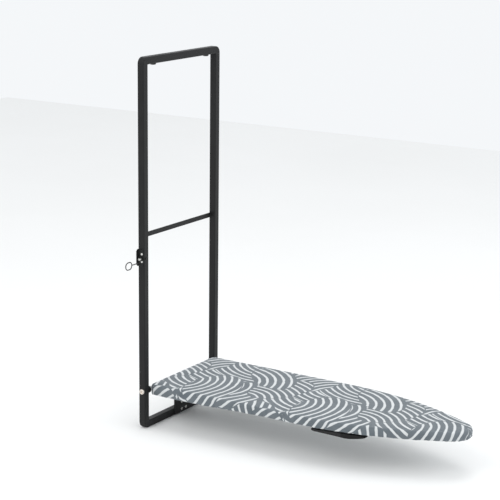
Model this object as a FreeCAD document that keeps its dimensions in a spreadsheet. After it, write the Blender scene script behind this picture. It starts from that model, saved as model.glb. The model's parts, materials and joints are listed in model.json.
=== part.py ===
import FreeCAD, Part
import math
import os
import Sketcher
from FreeCAD import Placement, Rotation, Vector

# A folding ironing board in a wall frame.
# Heights are counted from the frame's foot, depths from its back plane, and
# widths from its middle plane; every node is then lowered by fixingMid, so
# that the origin is at the middle of the four wall fixings.

doc = FreeCAD.newDocument("IroningBoard")
sheet = doc.addObject("Spreadsheet::Sheet", "Sizes")

drivingSizes = [
    # frame
    ("frameHeight", 1010), ("frameWidth", 358), ("tubeSize", 20), ("tubeWall", 1.5),
    ("tubeEdge", 2.5), ("cornerRadius", 18), ("crossbarMid", 535), ("crossbarHeight", 13),
    ("crossbarThick", 3), ("crossbarBack", 2), ("crossbarEdge", 0.8),
    ("hollowReach", 4), ("elbowInset", 7), ("domeShare", 0.7), ("cutOver", 1),
    # wall fixings
    ("fixingMid", 505), ("fixingSpan", 840), ("insertRadius", 4.5), ("insertBore", 2.5),
    ("insertLength", 12),
    # plugs in the top rail
    ("plugSpacing", 246), ("plugHead", 8), ("plugDrop", 4), ("plugStem", 4.5),
    # hinge
    ("pivotHeight", 105), ("pivotDepth", 11), ("boltRadius", 4), ("threadRadius", 3), ("boltHead", 7.8),
    ("boltHeadHeight", 4.4), ("socketRadius", 2.9), ("socketDepth", 2.6), ("nutRadius", 5.8),
    ("nutHeight", 6.2), ("washerThick", 1.5), ("washerRadius", 6.3), ("bushSleeve", 6),
    ("bushFlange", 10), ("runningGap", 0.05), ("looseGap", 0.1), ("sideGap", 0.3),
    ("earThick", 3), ("earRadius", 9), ("earReach", 92), ("earClear", 0.8),
    ("earRivetEnd", 10), ("earRivetPitch", 24), ("earRivetDrop", 5.8), ("earRivetHead", 1.5),
    ("hexDepth", 1.2),
    # board outline
    ("boardReach", 900), ("boardRear", 18), ("boardWidth", 310), ("taperStart", 465),
    ("taperRadius", 820), ("rearCorner", 13),
    # board layers
    ("boardRise", 18), ("coverDrop", 27), ("coverThick", 1.2), ("coverEdge", 6),
    ("hemLip", 8), ("slotGap", 1.5), ("padThick", 5.7), ("padEdge", 4.5), ("softGap", 0.3),
    ("deckSheet", 1),
    ("deckInset", 2.5), ("holeRadius", 5), ("holePitchLong", 28), ("holePitchWide", 34),
    ("holeMargin", 24), ("holeNose", 60), ("rimHeight", 12), ("rimThick", 1.5), ("rimLip", 8.5),
    ("railSplit", 700), ("ribHeight", 10), ("ribWidth", 20), ("ribSheet", 1.5),
    ("ribFirst", 170), ("ribSecond", 340), ("ribThird", 500), ("ribFourth", 725),
    ("ribClear", 5), ("cordRadius", 1.5), ("cordGap", 0.2),
    # stop under the board
    ("stopDepth", 45), ("stopWidth", 15), ("stopHalf", 120), ("stopWall", 1.5),
    ("stopPadThick", 6), ("stopPadGap", 0.3), ("stopPadHalf", 36), ("stopPadMargin", 3),
    ("stopPadCorner", 2), ("bracketHalf", 42),
    ("bracketThick", 3), ("bracketReach", 45), ("bracketFoot", 2), ("bracketHeight", 84.5),
    ("gussetRise", 41), ("lugHalf", 25), ("lugThick", 5), ("lugHeight", 26),
    ("bracketScrew", 2.5), ("bracketScrewHead", 4.2), ("bracketScrewRise", 2.4),
    ("bracketScrewHalf", 10), ("bracketScrewTail", 4), ("bracketHex", 1.5),
    ("lowerScrew", 12), ("upperScrew", 32),
    # handle
    ("handleMid", 598), ("handleTilt", 9.4), ("handleOuter", 3), ("handleWidth", 30),
    ("handleLeft", -75), ("handleRight", 75), ("handleTop", -9.5), ("handleBow", -23),
    ("handleBowAt", 9), ("handleDeep", -23.5), ("handleDeepAt", 29), ("handleHeel", -18.5),
    ("handleHeelAt", 60), ("handleToe", 5), ("handleSag", 5.5), ("handleEdge", 2),
    ("postInset", 14.5), ("postLength", 18), ("postMargin", 5), ("strapThick", 3),
    ("strapOver", 2), ("handleScrew", 2), ("handleScrewHead", 3.6), ("handleScrewDeep", 2.5),
    ("handleSeat", -11), ("handleHex", 1.6),
    # latch
    ("latchMid", 478.5), ("latchHeight", 46), ("latchSheet", 2), ("latchFlange", 9),
    ("latchCorner", 5), ("pinHeight", 476), ("pinDepth", 12), ("pinRadius", 3),
    ("pinProud", 3), ("pinOut", 12), ("collarRadius", 4.6), ("collarOffset", 1.2),
    ("collarLength", 2), ("barrelRadius", 6.4), ("chamberRadius", 5), ("bossRadius", 4.2),
    ("bossLength", 4), ("springRadius", 4), ("springWire", 0.45), ("springTurns", 5),
    ("rivetHead", 3.3), ("rivetStem", 2), ("rivetRise", 1.8), ("rivetSpan", 20.5),
    ("rivetDepth", 13.5), ("sideScrewHead", 3.5), ("sideScrewRise", 1.5),
    ("sideScrewAcross", 8), ("sideScrewTap", 1.7), ("sleeveRadius", 4.2), ("chamberFloor", 2),
    ("springEndGap", 0.15),
    ("wireRadius", 1.3), ("wireDrop", 9), ("wireBend", 4), ("wireReach", 36), ("wireStub", 2),
    ("eyeRadius", 9.7), ("eyeStraight", 7), ("weldDepth", 0.7),
]
for row, (name, value) in enumerate(drivingSizes, start=1):
    sheet.set("A%d" % row, name)
    sheet.set("B%d" % row, str(value))
    sheet.setAlias("B%d" % row, name)
doc.recompute()
sizeNames = {name for name, value in drivingSizes}


def rule(words):
    # Turns plain size names into references to the sheet.
    pieces = []
    word = ""
    for letter in words + " ":
        if letter.isalnum() or letter == "_":
            word += letter
        else:
            pieces.append("Sizes." + word if word in sizeNames else word)
            pieces.append(letter)
            word = ""
    return "".join(pieces).strip()


def size(words):
    # The value of a rule at the sheet's present sizes.
    return float(sheet.evalExpression(rule(words)))


# Heights and widths that several pieces share, as rules over the sheet.
halfFrame = "frameWidth / 2"
innerHalf = "frameWidth / 2 - tubeSize"
railUnder = "frameHeight - tubeSize"
boardTop = "pivotHeight + boardRise"
hemBottom = "pivotHeight + boardRise - coverDrop"
deckTop = "pivotHeight + boardRise - coverThick - softGap - padThick"
deckUnder = deckTop + " - deckSheet"
rimUnder = deckUnder + " - rimHeight"
rimInner = "boardWidth / 2 - deckInset - rimThick"
stopUnder = "bracketHeight + stopPadThick + stopPadGap"
earOutside = "(" + rimInner + ")"
earInside = "(" + rimInner + " - earThick)"
earRivetPlaces = ("earReach - earRivetEnd", "earReach - earRivetEnd - earRivetPitch")
earFoot = rimUnder + " + rimThick + softGap"
earHead = deckUnder + " - earClear"
earRivetHeight = deckUnder + " - earRivetDrop"
stileOutside = "-frameWidth / 2"
plateOutside = "-frameWidth / 2 - latchSheet"
barrelOuter = "(-frameWidth / 2 + tubeWall)"
barrelInner = "(-frameWidth / 2 + tubeSize - tubeWall - sideGap)"
tapStart = "(pinDepth + (chamberRadius + barrelRadius) / 2)"
wireAcross = "(-frameWidth / 2 - latchSheet - bossLength - pinOut / 4)"


# Turns that point a cylinder's own axis along +x, +y or +z.
turns = {
    "x": Rotation(Vector(0, 1, 0), 90),
    "y": Rotation(Vector(1, 0, 0), -90),
    "z": Rotation(),
}


def newBody(label):
    body = doc.addObject("PartDesign::Body", label)
    body.Label = label
    body.AllowCompound = True
    body.setExpression("Placement.Base.z", rule("-fixingMid"))
    return body


def place(feature, position, turn=None):
    if turn is not None:
        feature.Placement = Placement(Vector(0, 0, 0), turn)
    for axis, words in zip("xyz", position):
        feature.setExpression("Placement.Base." + axis, rule(str(words)))


def block(body, spans, cut=False):
    # A box from three (low, high) pairs of rules.
    kind = "PartDesign::SubtractiveBox" if cut else "PartDesign::AdditiveBox"
    feature = body.newObject(kind, "Cut" if cut else "Block")
    for prop, (low, high) in zip(("Length", "Width", "Height"), spans):
        feature.setExpression(prop, rule("(%s) - (%s)" % (high, low)))
    place(feature, [low for low, high in spans])
    return feature


def rod(body, axis, radius, length, start, cut=False):
    # A cylinder of the given radius and length that runs along +axis from start.
    kind = "PartDesign::SubtractiveCylinder" if cut else "PartDesign::AdditiveCylinder"
    feature = body.newObject(kind, "Bore" if cut else "Rod")
    feature.setExpression("Radius", rule(radius))
    feature.setExpression("Height", rule(length))
    place(feature, start, turns[axis])
    return feature


def hexRod(body, axis, radius, length, start, cut=False):
    kind = "PartDesign::SubtractivePrism" if cut else "PartDesign::AdditivePrism"
    feature = body.newObject(kind, "Socket" if cut else "Hexagon")
    feature.Polygon = 6
    feature.setExpression("Circumradius", rule(radius))
    feature.setExpression("Height", rule(length))
    place(feature, start, turns[axis])
    return feature


def roundEdges(body, radius, picked):
    # Rounds the body's edges for which picked(edge) is true.
    doc.recompute()
    base = body.Tip
    names = []
    for number, edge in enumerate(base.Shape.Edges, start=1):
        if picked(edge):
            names.append("Edge%d" % number)
    if not names:
        raise RuntimeError("no edge to round on " + body.Label)
    feature = body.newObject("PartDesign::Fillet", "Round")
    feature.Base = (base, names)
    feature.setExpression("Radius", rule(radius))
    return feature


def near(value, words):
    return abs(value - size(words)) < 0.01


def alongAxis(edge, axis):
    start = edge.Vertexes[0].Point
    end = edge.Vertexes[-1].Point
    move = end - start
    if not isinstance(edge.Curve, Part.Line) or move.Length < 1e-6:
        return False
    return abs(abs(getattr(move, axis)) - move.Length) < 1e-6


def circleAt(edge, axis, words, radius):
    # True for a full circle of that radius whose centre is at that place along axis.
    if not isinstance(edge.Curve, Part.Circle):
        return False
    centre = edge.Curve.Center
    return near(edge.Curve.Radius, radius) and near(getattr(centre, axis), words)


def originPlane(body, role):
    for feature in body.Origin.OriginFeatures:
        if feature.Role == role:
            return feature
    raise RuntimeError("no plane " + role)


def newSketch(body, name, role, height="0"):
    sketch = body.newObject("Sketcher::SketchObject", name)
    sketch.AttachmentSupport = (originPlane(body, role), [""])
    sketch.MapMode = "FlatFace"
    sketch.setExpression("AttachmentOffset.Base.z", rule(height))
    return sketch


def tie(sketch, constraint, words):
    number = sketch.addConstraint(constraint)
    sketch.setExpression("Constraints[%d]" % number, rule(words))


def polygonSketch(body, name, role, points, height="0"):
    # A closed polygon whose corners are pairs of rules.
    sketch = newSketch(body, name, role, height)
    spots = [Vector(size(across), size(up), 0) for across, up in points]
    count = len(spots)
    for number in range(count):
        sketch.addGeometry(Part.LineSegment(spots[number], spots[(number + 1) % count]), False)
    for number in range(count):
        after = (number + 1) % count
        sketch.addConstraint(Sketcher.Constraint("Coincident", number, 2, after, 1))
    for number, (across, up) in enumerate(points):
        tie(sketch, Sketcher.Constraint("DistanceX", -1, 1, number, 1, spots[number].x), across)
        tie(sketch, Sketcher.Constraint("DistanceY", -1, 1, number, 1, spots[number].y), up)
    return sketch


def outlineRules(inset):
    # The board's outline set in by inset: straight sides, a wide arc from
    # taperStart on each side, a round nose tangent to both, two rear corners.
    rules = {"half": "(boardWidth / 2 - %s)" % inset, "rear": "(boardRear + %s)" % inset}
    rules["tip"] = "(boardReach - %s)" % inset
    rules["arc"] = "(taperRadius - %s)" % inset
    rules["corner"] = "(rearCorner - %s)" % inset
    rules["rise"] = "(taperRadius - boardWidth / 2)"
    back = "(boardReach - taperRadius)"
    rules["nose"] = "((taperStart ^ 2 + %s ^ 2 - %s ^ 2) / (2 * (taperStart - %s)))" % (
        rules["rise"], back, back)
    return rules


def outlineEdges(inset):
    rules = outlineRules(inset)
    half, rear, tip, arc, corner, rise, nose = [
        size(rules[key]) for key in ("half", "rear", "tip", "arc", "corner", "rise", "nose")]
    start = size("taperStart")
    lean = math.atan2(nose - start, rise)
    up = Vector(0, 0, 1)
    quarter = math.pi / 2

    def bow(x, y, radius, first, last):
        return Part.ArcOfCircle(Part.Circle(Vector(x, y, 0), up, radius), first, last)

    return [
        Part.LineSegment(Vector(rear + corner, -half, 0), Vector(start, -half, 0)),
        bow(start, rise, arc, -quarter, lean - quarter),
        bow(nose, 0, tip - nose, lean - quarter, quarter - lean),
        bow(start, -rise, arc, quarter - lean, quarter),
        Part.LineSegment(Vector(start, half, 0), Vector(rear + corner, half, 0)),
        bow(rear + corner, half - corner, corner, quarter, 2 * quarter),
        Part.LineSegment(Vector(rear, half - corner, 0), Vector(rear, corner - half, 0)),
        bow(rear + corner, corner - half, corner, 2 * quarter, 3 * quarter),
    ]


def drawOutline(sketch, inset):
    # Adds the outline to a sketch as tangent lines and arcs tied to the sheet.
    rules = outlineRules(inset)
    first = sketch.GeometryCount
    edges = outlineEdges(inset)
    for edge in edges:
        sketch.addGeometry(edge, False)
    number = [first + place for place in range(len(edges))]
    for place in range(len(edges)):
        after = number[(place + 1) % len(edges)]
        sketch.addConstraint(Sketcher.Constraint("Tangent", number[place], 2, after, 1))
    sketch.addConstraint(Sketcher.Constraint("Horizontal", number[0]))
    sketch.addConstraint(Sketcher.Constraint("Horizontal", number[4]))
    sketch.addConstraint(Sketcher.Constraint("Vertical", number[6]))
    sketch.addConstraint(Sketcher.Constraint("Equal", number[1], number[3]))
    sketch.addConstraint(Sketcher.Constraint("Equal", number[5], number[7]))
    half, arc, start = size(rules["half"]), size(rules["arc"]), size("taperStart")
    tie(sketch, Sketcher.Constraint("DistanceY", -1, 1, number[0], 1, -half), "-" + rules["half"])
    tie(sketch, Sketcher.Constraint("DistanceY", -1, 1, number[4], 1, half), rules["half"])
    tie(sketch, Sketcher.Constraint("Radius", number[1], arc), rules["arc"])
    tie(sketch, Sketcher.Constraint("DistanceX", -1, 1, number[1], 3, start), "taperStart")
    tie(sketch, Sketcher.Constraint("DistanceX", -1, 1, number[3], 3, start), "taperStart")
    tie(sketch, Sketcher.Constraint("DistanceX", -1, 1, number[2], 3, size(rules["nose"])),
        rules["nose"])
    tie(sketch, Sketcher.Constraint("Radius", number[5], size(rules["corner"])), rules["corner"])
    tie(sketch, Sketcher.Constraint("DistanceX", -1, 1, number[6], 1, size(rules["rear"])),
        rules["rear"])


def layer(body, inset, bottom, thickness, cut=False):
    # A plate of the board's outline, or a pocket of it, from bottom upwards.
    sketch = newSketch(body, "Outline", "XY_Plane", bottom)
    drawOutline(sketch, inset)
    kind = "PartDesign::Pocket" if cut else "PartDesign::Pad"
    feature = body.newObject(kind, "Hollow" if cut else "Layer")
    feature.Profile = sketch
    feature.Reversed = cut
    feature.setExpression("Length", rule(thickness))
    return feature


def halfWidthAt(place):
    # The outline's half width at a distance past taperStart.
    return "(boardWidth / 2 - taperRadius + sqrt(taperRadius ^ 2 - (%s - taperStart) ^ 2))" % place


# --- frame ---------------------------------------------------------------

def stile(label, side):
    # side is -1 for the stile that carries the latch, 1 for the other.
    body = newBody(label)
    low = "-frameWidth / 2" if side < 0 else innerHalf
    high = "-frameWidth / 2 + tubeSize" if side < 0 else halfFrame
    middle = "%d * (frameWidth - tubeSize) / 2" % side
    block(body, [("0", "tubeSize"), (low, high), ("tubeSize", railUnder)])
    roundEdges(body, "tubeEdge", lambda edge: alongAxis(edge, "z"))
    inside = [("tubeWall", "tubeSize - tubeWall"), (low + " + tubeWall", high + " - tubeWall")]
    block(body, inside + [("tubeSize", railUnder)], cut=True)
    rod(body, "y", "boltRadius + looseGap", "tubeSize", ("pivotDepth", low, "pivotHeight"), True)
    for step in (-1, 1):
        height = "fixingMid + %d * fixingSpan / 2" % step
        rod(body, "x", "insertRadius", "tubeWall", ("0", middle, height), True)
    if side < 0:
        rod(body, "y", "pinRadius + looseGap", "tubeSize", ("pinDepth", low, "pinHeight"), True)
        rod(body, "y", "sleeveRadius", "tubeWall", ("pinDepth", low, "pinHeight"), True)
        rod(body, "x", "rivetStem", "tubeWall",
            ("tubeSize - tubeWall", low + " + sideScrewAcross", "pinHeight"), True)
        for step in (-1, 1):
            height = "latchMid + %d * rivetSpan / 2" % step
            rod(body, "y", "rivetStem", "tubeWall", ("rivetDepth", low, height), True)


def rail(label, side):
    # side is 1 for the top rail and -1 for the bottom one.
    body = newBody(label)
    low = railUnder if side > 0 else "0"
    high = "frameHeight" if side > 0 else "tubeSize"
    outer = high if side > 0 else low
    inner = low if side > 0 else high
    block(body, [("0", "tubeSize"), ("-frameWidth / 2", halfFrame), (low, high)])

    def outerCorner(edge):
        spot = edge.CenterOfMass
        return alongAxis(edge, "x") and near(spot.z, outer)

    roundEdges(body, "cornerRadius", outerCorner)

    def outerRun(edge):
        spot = edge.CenterOfMass
        onFace = near(spot.x, "0") or near(spot.x, "tubeSize")
        return onFace and not near(spot.z, inner)

    roundEdges(body, "tubeEdge", outerRun)
    toward = "-tubeEdge" if side < 0 else "tubeEdge"
    lowEdge = inner if side > 0 else inner + " - tubeEdge"
    highEdge = inner + " + tubeEdge" if side > 0 else inner
    span = ("tubeSize - frameWidth / 2", innerHalf)
    for depthLow, depthHigh, axis in (("0", "tubeEdge", "tubeEdge"),
                                      ("tubeSize - tubeEdge", "tubeSize", "tubeSize - tubeEdge")):
        block(body, [(depthLow, depthHigh), span, (lowEdge, highEdge)], cut=True)
        rod(body, "y", "tubeEdge", "frameWidth - 2 * tubeSize",
            (axis, span[0], inner + " + " + toward))
    depth = ("tubeWall", "tubeSize - tubeWall")
    reach = "frameWidth / 2 - tubeSize + hollowReach"
    block(body, [depth, ("-(" + reach + ")", reach), (low + " + tubeWall", high + " - tubeWall")],
          cut=True)
    elbow = "frameWidth / 2 - elbowInset"
    elbowLow = inner if side > 0 else inner + " - tubeSize / 2"
    elbowHigh = inner + " + tubeSize / 2" if side > 0 else inner
    for first, last in ((innerHalf + " + tubeWall", elbow),
                        ("-(" + elbow + ")", "-(" + innerHalf + " + tubeWall)")):
        block(body, [depth, (first, last), (elbowLow, elbowHigh)], cut=True)
    if side > 0:
        for step in (-1, 1):
            rod(body, "z", "plugStem", "tubeWall",
                ("tubeSize / 2", "%d * plugSpacing / 2" % step, low), True)
    else:
        for step in (-1, 1):
            rod(body, "x", "bracketScrew", "tubeWall",
                ("tubeSize - tubeWall", "%d * bracketScrewHalf" % step, "lowerScrew"), True)


def crossbar():
    body = newBody("crossbar")
    block(body, [("crossbarBack", "crossbarBack + crossbarThick"),
                 ("tubeSize - frameWidth / 2", innerHalf),
                 ("crossbarMid - crossbarHeight / 2", "crossbarMid + crossbarHeight / 2")])
    roundEdges(body, "crossbarEdge", lambda edge: alongAxis(edge, "y"))


def wallInserts():
    # Four threaded inserts, flush with the back of the stiles.
    body = newBody("wall_inserts")
    for side in (-1, 1):
        for step in (-1, 1):
            start = ("0", "%d * (frameWidth - tubeSize) / 2" % side,
                     "fixingMid + %d * fixingSpan / 2" % step)
            rod(body, "x", "insertRadius", "insertLength", start)
            rod(body, "x", "insertBore", "insertLength", start, True)


def railPlugs():
    body = newBody("rail_plugs")
    for step in (-1, 1):
        across = "%d * plugSpacing / 2" % step
        rod(body, "z", "plugHead", "plugDrop", ("tubeSize / 2", across, railUnder + " - plugDrop"))
        rod(body, "z", "plugStem", "2 * tubeWall", ("tubeSize / 2", across, railUnder))
    roundEdges(body, "plugDrop * domeShare",
               lambda edge: circleAt(edge, "z", railUnder + " - plugDrop", "plugHead"))


# --- hinge -----------------------------------------------------------------

def pivotBolts():
    # Two shoulder bolts with round socket heads, tight in the stiles.
    body = newBody("pivot_bolts")
    shoulder = "(%s - sideGap)" % earInside
    tip = "(%s - sideGap - washerThick - nutHeight)" % earInside
    for side in (-1, 1):
        start = "-frameWidth / 2" if side < 0 else shoulder
        rod(body, "y", "boltRadius", "frameWidth / 2 - " + shoulder,
            ("pivotDepth", start, "pivotHeight"))
        start = "-" + shoulder if side < 0 else tip
        rod(body, "y", "threadRadius", "%s - %s" % (shoulder, tip),
            ("pivotDepth", start, "pivotHeight"))
        head = "-frameWidth / 2 - boltHeadHeight" if side < 0 else halfFrame
        rod(body, "y", "boltHead", "boltHeadHeight", ("pivotDepth", head, "pivotHeight"))

    def rim(edge):
        outer = "frameWidth / 2 + boltHeadHeight"
        return circleAt(edge, "y", outer, "boltHead") or circleAt(edge, "y", "-(%s)" % outer,
                                                                  "boltHead")

    roundEdges(body, "boltHeadHeight * domeShare", rim)
    for side in (-1, 1):
        outer = "%d * (frameWidth / 2 + boltHeadHeight)" % side
        start = outer if side < 0 else outer + " - socketDepth"
        hexRod(body, "y", "socketRadius", "socketDepth", ("pivotDepth", start, "pivotHeight"), True)


def pivotBushes():
    # Nylon bushes pressed into the ears, which turn on the bolts.
    body = newBody("pivot_bushes")
    for side in (-1, 1):
        outer = "(%s - sideGap)" % innerHalf
        start = "-" + outer if side < 0 else earOutside
        rod(body, "y", "bushFlange", "%s - %s" % (outer, earOutside),
            ("pivotDepth", start, "pivotHeight"))
        start = "-" + earOutside if side < 0 else earInside
        rod(body, "y", "bushSleeve", "earThick", ("pivotDepth", start, "pivotHeight"))
    rod(body, "y", "boltRadius + runningGap", "frameWidth",
        ("pivotDepth", "-frameWidth / 2", "pivotHeight"), True)


def pivotNuts():
    # A washer and a lock nut on each bolt, inside the ear.
    body = newBody("pivot_nuts")
    for side in (-1, 1):
        washer = "(%s - sideGap)" % earInside
        nut = "(%s - sideGap - washerThick)" % earInside
        start = "-" + washer if side < 0 else nut
        rod(body, "y", "washerRadius", "washerThick", ("pivotDepth", start, "pivotHeight"))
        start = "-" + nut if side < 0 else nut + " - nutHeight"
        hexRod(body, "y", "nutRadius", "nutHeight", ("pivotDepth", start, "pivotHeight"))
    rod(body, "y", "threadRadius", "frameWidth",
        ("pivotDepth", "-frameWidth / 2", "pivotHeight"), True)


def hingeEar(label, side):
    body = newBody(label)
    low = "-" + earOutside if side < 0 else earInside
    high = "-" + earInside if side < 0 else earOutside
    block(body, [("pivotDepth", "earReach"), (low, high),
                 (earFoot, earHead)])
    rod(body, "y", "earRadius", "earThick", ("pivotDepth", low, "pivotHeight"))
    rod(body, "y", "bushSleeve", "earThick", ("pivotDepth", low, "pivotHeight"), True)
    for place in earRivetPlaces:
        rod(body, "y", "rivetStem", "earThick", (place, low, earRivetHeight), True)


def earRivets():
    # Flat rivets that hold each ear to its side rail.
    body = newBody("ear_rivets")
    for side in (-1, 1):
        for place in earRivetPlaces:
            stem = earInside if side > 0 else "-(%s + rimThick)" % earOutside
            rod(body, "y", "rivetStem", "earThick + rimThick", (place, stem, earRivetHeight))
            head = "%s - earRivetHead" % earInside if side > 0 else "-" + earInside
            rod(body, "y", "rivetHead", "earRivetHead", (place, head, earRivetHeight))


# --- board -----------------------------------------------------------------

def deckPanel():
    # The perforated steel deck under the pad.
    body = newBody("deck_panel")
    layer(body, "deckInset", deckUnder, "deckSheet")
    doc.recompute()
    sketch = newSketch(body, "SteamHoles", "XY_Plane", deckUnder)
    up = Vector(0, 0, 1)
    row = 0
    along = size("boardRear + holeMargin + holePitchLong")
    while along < size("boardReach - holeMargin"):
        margin = size("holeMargin")
        half = size(halfWidthAt(str(max(along, size("taperStart"))))) - margin
        fromTip = size("boardReach - holeMargin") - along
        half = min(half, math.sqrt(fromTip * size("holeNose")))
        pitch = size("holePitchWide")
        shift = 0 if row % 2 == 0 else pitch / 2
        count = int((half - shift) // pitch)
        for step in range(-count - (row % 2), count + 1):
            spot = Vector(along, step * pitch + shift, 0)
            sketch.addGeometry(Part.Circle(spot, up, size("holeRadius")), False)
        along += size("holePitchLong")
        row += 1
    pocket = body.newObject("PartDesign::Pocket", "SteamPocket")
    pocket.Profile = sketch
    pocket.Reversed = True
    pocket.setExpression("Length", rule("deckSheet"))


def rimRail(label, keep):
    # A bent flange under the deck's edge with a lip turned inwards at its foot.
    # keep names the stretch of the ring that this rail is.
    body = newBody(label)
    layer(body, "deckInset", rimUnder, "rimHeight")
    layer(body, "(deckInset + rimThick)", rimUnder + " + rimThick", "rimHeight", cut=True)
    layer(body, "(deckInset + rimLip)", rimUnder, "rimHeight", cut=True)
    height = (rimUnder + " - cutOver", deckUnder + " + cutOver")
    across = ("-boardWidth", "boardWidth")
    corner = "(boardRear + rearCorner)"
    if keep == "end":
        block(body, [(corner, "boardReach"), across, height], cut=True)
        side = "(boardWidth / 2 - rearCorner)"
        block(body, [("boardRear", corner), (side, "boardWidth"), height], cut=True)
        block(body, [("boardRear", corner), ("-boardWidth", "-" + side), height], cut=True)
    elif keep == "nose":
        block(body, [("boardRear", "railSplit"), across, height], cut=True)
    else:
        block(body, [("railSplit", "boardReach"), across, height], cut=True)
        block(body, [("boardRear", corner), across, height], cut=True)
        other = ("0", "boardWidth") if keep == "left" else ("-boardWidth", "0")
        block(body, [(corner, "railSplit"), other, height], cut=True)
        side = -1 if keep == "left" else 1
        for place in earRivetPlaces:
            start = "-(%s + rimThick)" % earOutside if side < 0 else earOutside
            rod(body, "y", "rivetStem", "rimThick", (place, start, earRivetHeight), True)


def deckRibs():
    # Four inverted channels across the deck, between the side rails.
    body = newBody("deck_ribs")
    for place in ("ribFirst", "ribSecond", "ribThird", "ribFourth"):
        widest = "taperStart" if size(place) < size("taperStart") else "(%s + ribWidth)" % place
        half = "(%s - deckInset - rimThick - ribClear)" % halfWidthAt(widest)
        block(body, [(place, place + " + ribWidth"), ("-" + half, half),
                     (deckUnder + " - ribHeight", deckUnder)])
        block(body, [(place + " + ribSheet", place + " + ribWidth - ribSheet"),
                     ("-" + half, half), (deckUnder + " - ribHeight + ribSheet", deckUnder)],
              cut=True)


def stopBar():
    # The square tube under the deck that comes down on the rubber stop.
    body = newBody("stop_bar")
    across = ("-stopHalf", "stopHalf")
    block(body, [("stopDepth", "stopDepth + stopWidth"), across, (stopUnder, deckUnder)])
    block(body, [("stopDepth + stopWall", "stopDepth + stopWidth - stopWall"), across,
                 (stopUnder + " + stopWall", deckUnder + " - stopWall")], cut=True)


def foamPad():
    body = newBody("foam_pad")
    layer(body, "(coverThick + softGap)", deckTop, "padThick")
    top = deckTop + " + padThick"
    roundEdges(body, "padEdge", lambda edge: near(edge.CenterOfMass.z, top))


def fabricCover():
    # The fitted cover: top, skirt and a short hem turned under.
    body = newBody("fabric_cover")
    layer(body, "0", hemBottom, "coverDrop")
    layer(body, "coverThick", hemBottom + " + coverThick", "coverDrop - 2 * coverThick", cut=True)
    layer(body, "hemLip", hemBottom, "coverThick + softGap", cut=True)
    ceiling = boardTop + " - coverThick"
    roundEdges(body, "coverEdge - coverThick", lambda edge: near(edge.CenterOfMass.z, ceiling))
    roundEdges(body, "coverEdge", lambda edge: near(edge.CenterOfMass.z, boardTop))
    corner = ("boardRear - cutOver", "boardRear + rearCorner")
    height = (hemBottom + " - cutOver", earHead + " + 2 * softGap")
    for low, high in ((earInside, earOutside), ("-" + earOutside, "-" + earInside)):
        block(body, [corner, (low + " - slotGap", high + " + slotGap"), height], cut=True)


def hemCord():
    # The drawcord that lies in the hem, a closed ring just inside the lip.
    inset = "(hemLip + cordGap + cordRadius)"
    path = Part.Wire([edge.toShape() for edge in outlineEdges(inset)])
    start = path.Vertexes[0].Point
    ring = Part.Wire(Part.makeCircle(size("cordRadius"), start, Vector(1, 0, 0)))
    body = doc.addObject("Part::Feature", "hem_cord")
    body.Shape = path.makePipeShell([ring], True, False)
    body.Placement = Placement(
        Vector(0, 0, size(hemBottom + " + cordRadius + cordGap - fixingMid")), Rotation())


# --- stop bracket -------------------------------------------------------------

def supportBracket():
    body = newBody("support_bracket")
    across = ("-bracketHalf", "bracketHalf")
    front = "tubeSize + bracketThick"
    block(body, [("tubeSize", front), across, ("bracketFoot", "bracketHeight")])
    block(body, [("tubeSize", "tubeSize + bracketReach"), across,
                 ("bracketHeight - bracketThick", "bracketHeight")])
    profile = [(front, "bracketHeight - bracketThick - gussetRise"),
               ("tubeSize + bracketReach", "bracketHeight - bracketThick"),
               (front, "bracketHeight - bracketThick")]
    for start in ("bracketHalf", "-bracketHalf + bracketThick"):
        sketch = polygonSketch(body, "Gusset", "XZ_Plane", profile, "-(%s)" % start)
        web = body.newObject("PartDesign::Pad", "Web")
        web.Profile = sketch
        web.setExpression("Length", rule("bracketThick"))
    for side in (-1, 1):
        for height in ("lowerScrew", "upperScrew"):
            rod(body, "x", "bracketScrew", "bracketThick",
                ("tubeSize", "%d * bracketScrewHalf" % side, height), True)

    def bend(edge):
        spot = edge.CenterOfMass
        return alongAxis(edge, "y") and near(spot.x, "tubeSize") and near(spot.z, "bracketHeight")

    roundEdges(body, "bracketThick", bend)


def bracketLug():
    # The lug on the bottom rail that stiffens the bracket.
    body = newBody("bracket_lug")
    block(body, [("tubeSize - lugThick", "tubeSize"), ("-lugHalf", "lugHalf"),
                 ("tubeSize", "tubeSize + lugHeight")])
    for side in (-1, 1):
        rod(body, "x", "bracketScrew", "lugThick",
            ("tubeSize - lugThick", "%d * bracketScrewHalf" % side, "upperScrew"), True)


def bracketScrews():
    body = newBody("bracket_screws")
    for side in (-1, 1):
        across = "%d * bracketScrewHalf" % side
        for height, inward in (("lowerScrew", "tubeWall + bracketScrewTail"),
                               ("upperScrew", "lugThick")):
            rod(body, "x", "bracketScrew", "bracketThick + " + inward,
                ("tubeSize - (%s)" % inward, across, height))
            rod(body, "x", "bracketScrewHead", "bracketScrewRise",
                ("tubeSize + bracketThick", across, height))
    crown = "tubeSize + bracketThick + bracketScrewRise"
    roundEdges(body, "bracketScrewRise * domeShare",
               lambda edge: circleAt(edge, "x", crown, "bracketScrewHead"))
    for side in (-1, 1):
        for height in ("lowerScrew", "upperScrew"):
            hexRod(body, "x", "bracketHex", "hexDepth",
                   (crown + " - hexDepth", "%d * bracketScrewHalf" % side, height), True)


def stopPad():
    # The rubber pad on the bracket's ledge.
    body = newBody("stop_pad")
    block(body, [("tubeSize + bracketThick + stopPadMargin",
                  "tubeSize + bracketReach - stopPadMargin"),
                 ("-stopPadHalf", "stopPadHalf"),
                 ("bracketHeight", "bracketHeight + stopPadThick")])
    roundEdges(body, "stopPadCorner", lambda edge: alongAxis(edge, "z"))


# --- handle --------------------------------------------------------------------

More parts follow.
